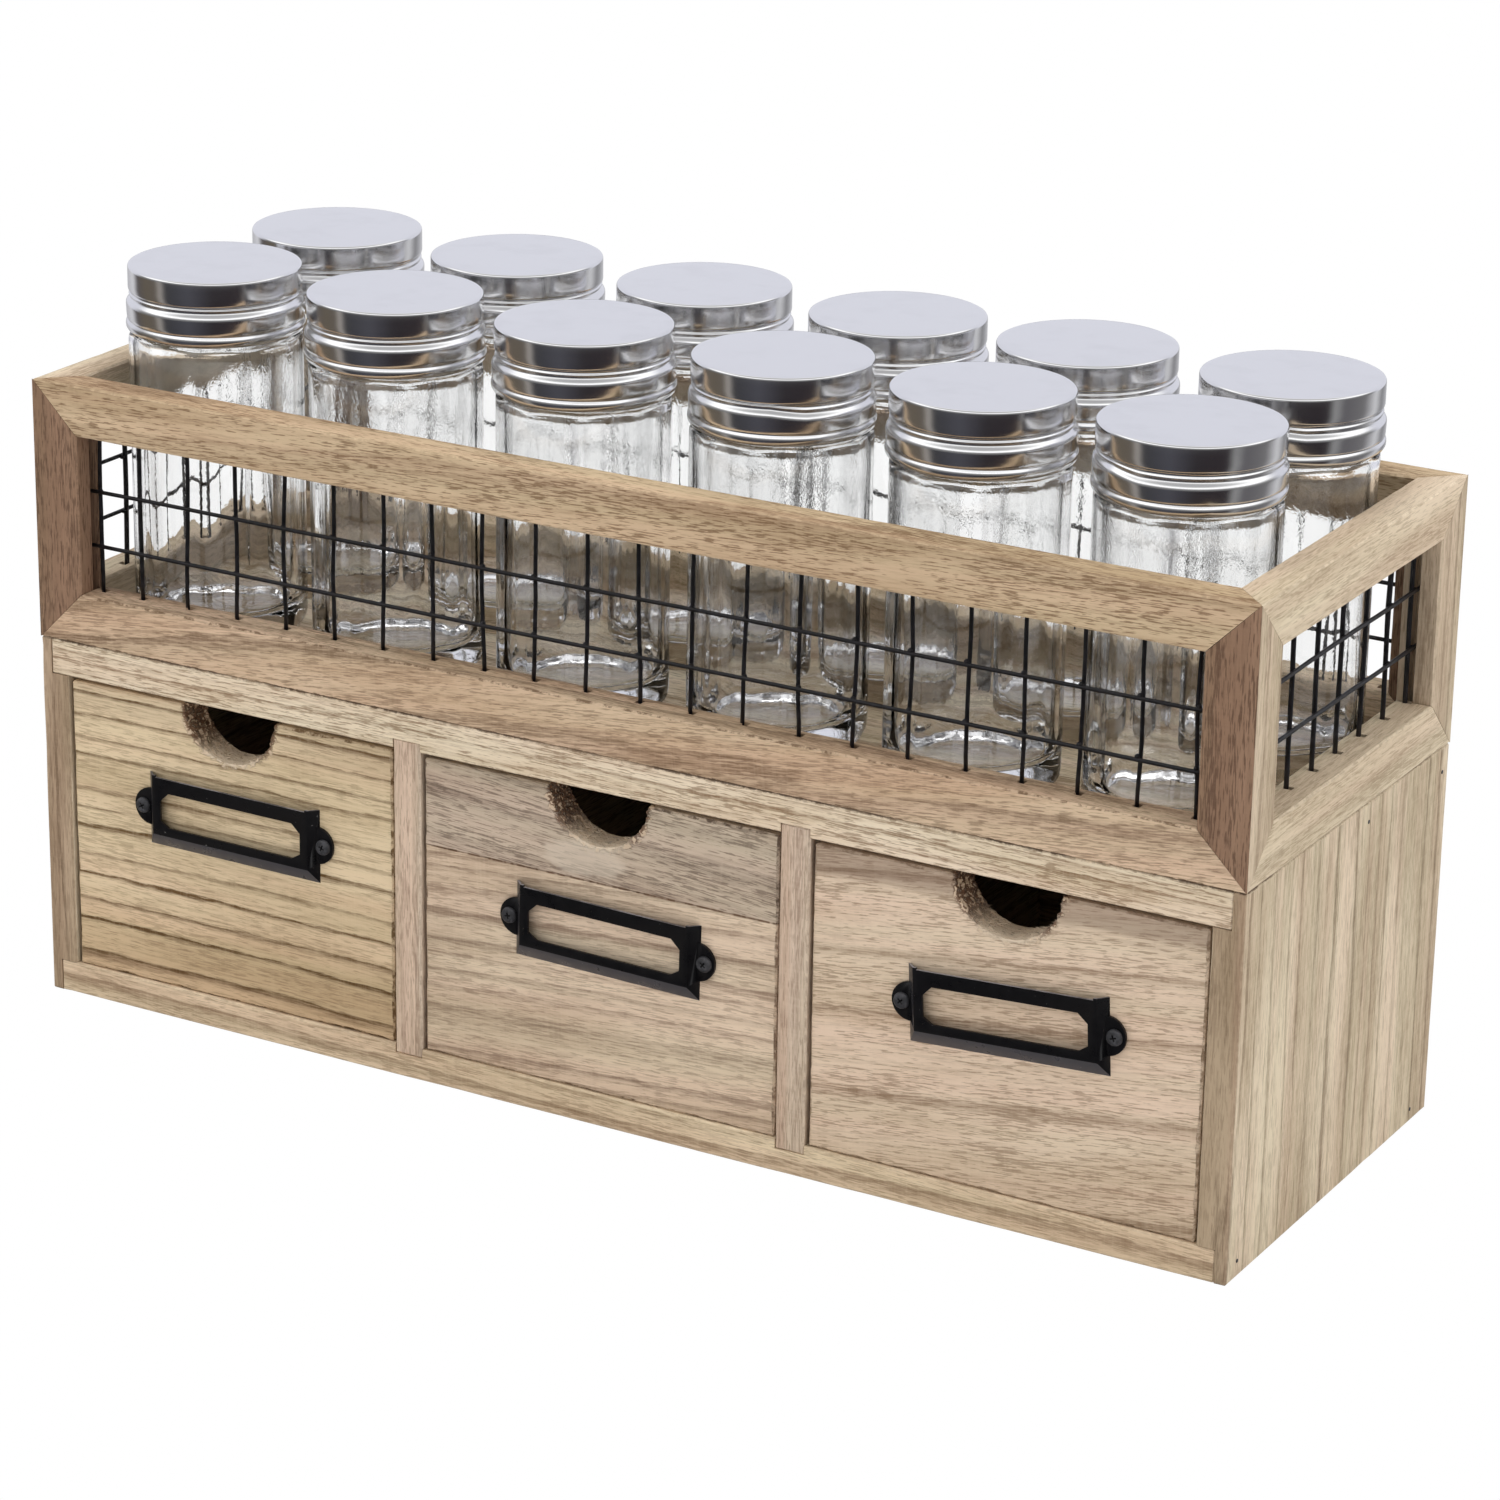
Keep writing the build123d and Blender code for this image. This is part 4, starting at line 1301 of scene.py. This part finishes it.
lid_turns = {"front": (0.4, 1.9, 3.0, 5.1, 2.6, 4.2), "back": (5.6, 0.9, 2.2, 3.7, 1.3, 4.9)}
thread_climb = 0.9
thread_low = 2.9
thread_top = 10.4
thread_from_axis = 21.3
thread_step = 0.06      # share of the turn that the step takes


def thread_shift(angle, height):
    """How far the rolled thread has climbed here; it starts and ends in a short step."""
    share = angle / math.tau
    ramp = share - 0.5 if share > thread_step else 0.5 - share / thread_step * 0.94
    inside = (height - thread_low) * (thread_top - height) / ((thread_top - thread_low) / 2) ** 2
    return thread_climb * ramp * max(0.0, min(1.0, 2.2 * inside))


def lid_shape():
    bm = spun([(radius * mm, height * mm) for radius, height in lid_profile], lid_steps)
    for vert in bm.verts:
        if math.hypot(vert.co.x, vert.co.y) > thread_from_axis * mm:
            angle = math.atan2(vert.co.y, vert.co.x) % math.tau
            vert.co.z += thread_shift(angle, vert.co.z / mm) * mm
    return bm


def tinplate():
    """Polished tin: a mirror with a trace of rolling marks and dust."""
    g = Material("tinplate")
    dust = g.noise((90, 90, 90), 4.0, 0.6).remap(0.45, 0.75)
    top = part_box("lid_front_1")[1].z
    flat_top = g.xyz()[2].remap(top - 1.2 * mm, top - 0.4 * mm, 0.17, 0.10)
    return g.surface({"Base Color": g.mix(dust, (0.79, 0.79, 0.80, 1), (0.755, 0.755, 0.765, 1)),
                      "Roughness": dust * 0.03 + flat_top, "Metallic": 1.0,
                      "Normal": g.bump(g.noise((900, 60, 60)), 0.02, 0.05 * mm)})


def place_rows(kind, finish, shape, material, turns):
    """Copies of one shape on the nodes of both rows, each turned about its axis."""
    pattern = new_mesh(kind + "_pattern", shape)
    for row, angles in turns.items():
        for i, turn in enumerate(angles, 1):
            node = f"{kind}_{row}_{i}"
            low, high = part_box(node)
            middle = ((low.x + high.x) / 2, (low.y + high.y) / 2, low.z)
            bm = bmesh.new()
            add_copy(bm, pattern, Matrix.Translation(middle) @ Matrix.Rotation(turn, 4, "Z"))
            count = new_piece(f"{node}_{finish}", bm, material, node, node)
    bpy.data.meshes.remove(pattern)
    print(kind, "copies", sum(map(len, turns.values())), "faces of each", count)


place_rows("lid", "tin", lid_shape(), tinplate(), lid_turns)

# %% [markdown]
# ## Jars
#
# The jars are pressed glass: ten flat sides with soft corners outside, and a nearly
# round, wavy wall inside. The bends in what shows through them come from that
# difference, so both walls are modelled as one closed shell with a thick base. A ring
# of points is extruded from station to station, down one wall and up the other, and
# each ring takes its radius from a share of ten-sidedness.

# %% Jars
jar_flats = 10
ring_points = 100
corner_softness = 46
jar_turns = {"front": (4, 22, 13, 30, 9, 18), "back": (16, 2, 27, 11, 33, 6)}     # degrees
# radius and height in millimetres, and roundness: 0 is ten-sided, 1 is round.
outside = (
    [(2.0, 1.3, 1.0), (12.0, 1.1, 1.0), (18.2, 0.5, 0.9), (20.0, 0.0, 0.6), (21.2, 0.35, 0.3)]
    + [(22.2, 1.3, 0.1), (22.8, 2.6, 0.0), (23.0, 4.5, 0.0)]
    + [(23.0, 9.0 + 6.0 * i, 0.0) for i in range(11)]
    + [(23.0, 74.0, 0.0), (23.0, 77.8, 0.05), (22.85, 78.6, 0.15), (22.45, 79.1, 0.35), (21.5, 79.4, 0.7)]
    + [(20.2, 79.6, 1.0), (19.4, 79.95, 1.0), (19.2, 81.0, 1.0), (19.2, 88.0, 1.0), (19.2, 95.2, 1.0)]
)
inside = (
    [(18.9, 95.9, 1.0), (18.2, 96.2, 1.0), (17.5, 95.9, 1.0), (17.3, 95.0, 1.0), (17.3, 88.0, 1.0)]
    + [(17.3, 80.8, 1.0), (17.7, 79.8, 1.0), (18.6, 79.1, 1.0), (19.8, 78.6, 0.9), (20.4, 77.8, 0.8)]
    + [(20.5, 76.0, 0.8)] + [(20.5, 70.0 - 6.0 * i, 0.8) for i in range(10)]
    + [(20.5, 11.5, 0.8), (20.1, 9.6, 0.8), (19.0, 8.0, 0.9), (17.0, 7.0, 1.0), (12.0, 6.4, 1.0)]
    + [(2.0, 6.2, 1.0)]
)


def ten_sided(angle):
    """The share of the radius that ten flats with soft corners leave at an angle."""
    half_slice = math.pi / jar_flats
    off = (angle + math.tau) % (2 * half_slice) - half_slice
    flat = math.cos(half_slice) / math.cos(off)
    return (flat ** -corner_softness + 0.985 ** -corner_softness) ** (-1 / corner_softness)


def glass_wave(angle, height, is_inside):
    """How far the glass swells here, in millimetres; its foot and shoulder stay true."""
    x, y = math.cos(angle), math.sin(angle)
    if is_inside and 8 < height < 76:
        return (0.26 * noise.noise((x * 3.2, y * 3.2, height * 0.018))
                + 0.08 * noise.noise((x * 9, y * 9, height * 0.05)))
    if not is_inside and 3 < height < 77:
        return 0.07 * noise.noise((x * 6, y * 6, height * 0.04 + 9))
    return 0.0


def jar_shape():
    """One closed shell, extruded ring by ring from the base outside to the floor inside."""
    bm = bmesh.new()
    verts = bmesh.ops.create_circle(bm, cap_ends=True, segments=ring_points, radius=1.0)["verts"]
    edges = list(verts[0].link_faces[0].edges)
    for number, (radius, height, roundness) in enumerate(outside + inside):
        if number:
            edges, verts = extrude_ring(bm, edges)
        for vert in verts:
            angle = math.atan2(vert.co.y, vert.co.x)
            soft = ten_sided(angle)
            reach = radius * (soft + (1.0 - soft) * roundness)
            reach += glass_wave(angle, height, number >= len(outside))
            vert.co = Vector((math.cos(angle) * reach, math.sin(angle) * reach, height)) * mm
    bmesh.ops.edgeloop_fill(bm, edges=edges)
    bmesh.ops.recalc_face_normals(bm, faces=bm.faces)
    return bm


def jar_glass():
    """Clear pressed glass with fine drawn streaks and small wrinkles near the shoulder."""
    g = Material("jar_glass")
    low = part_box("jar_front_1")[0].z
    top = g.xyz()[2].remap(low + 52 * mm, low + 68 * mm)
    wrinkles = g.noise((700, 700, 500), 2.0, 0.6, 1.2) * (top * 0.8 + 0.15)
    height = g.noise((260, 260, 10)) + wrinkles
    in_shadow = g.add("LightPath", output="Is Shadow Ray")
    g.cover(in_shadow, g.add("BsdfTransparent", {"Color": (0.90, 0.91, 0.91, 1)}))
    return g.surface({"Base Color": (0.995, 0.997, 0.997, 1), "Roughness": 0.0, "IOR": 1.48,
                      "Transmission Weight": 1.0, "Normal": g.bump(height, 0.22, 0.25 * mm)})


jar_angles = {row: [math.radians(turn) for turn in turns] for row, turns in jar_turns.items()}
place_rows("jar", "glass", jar_shape(), jar_glass(), jar_angles)
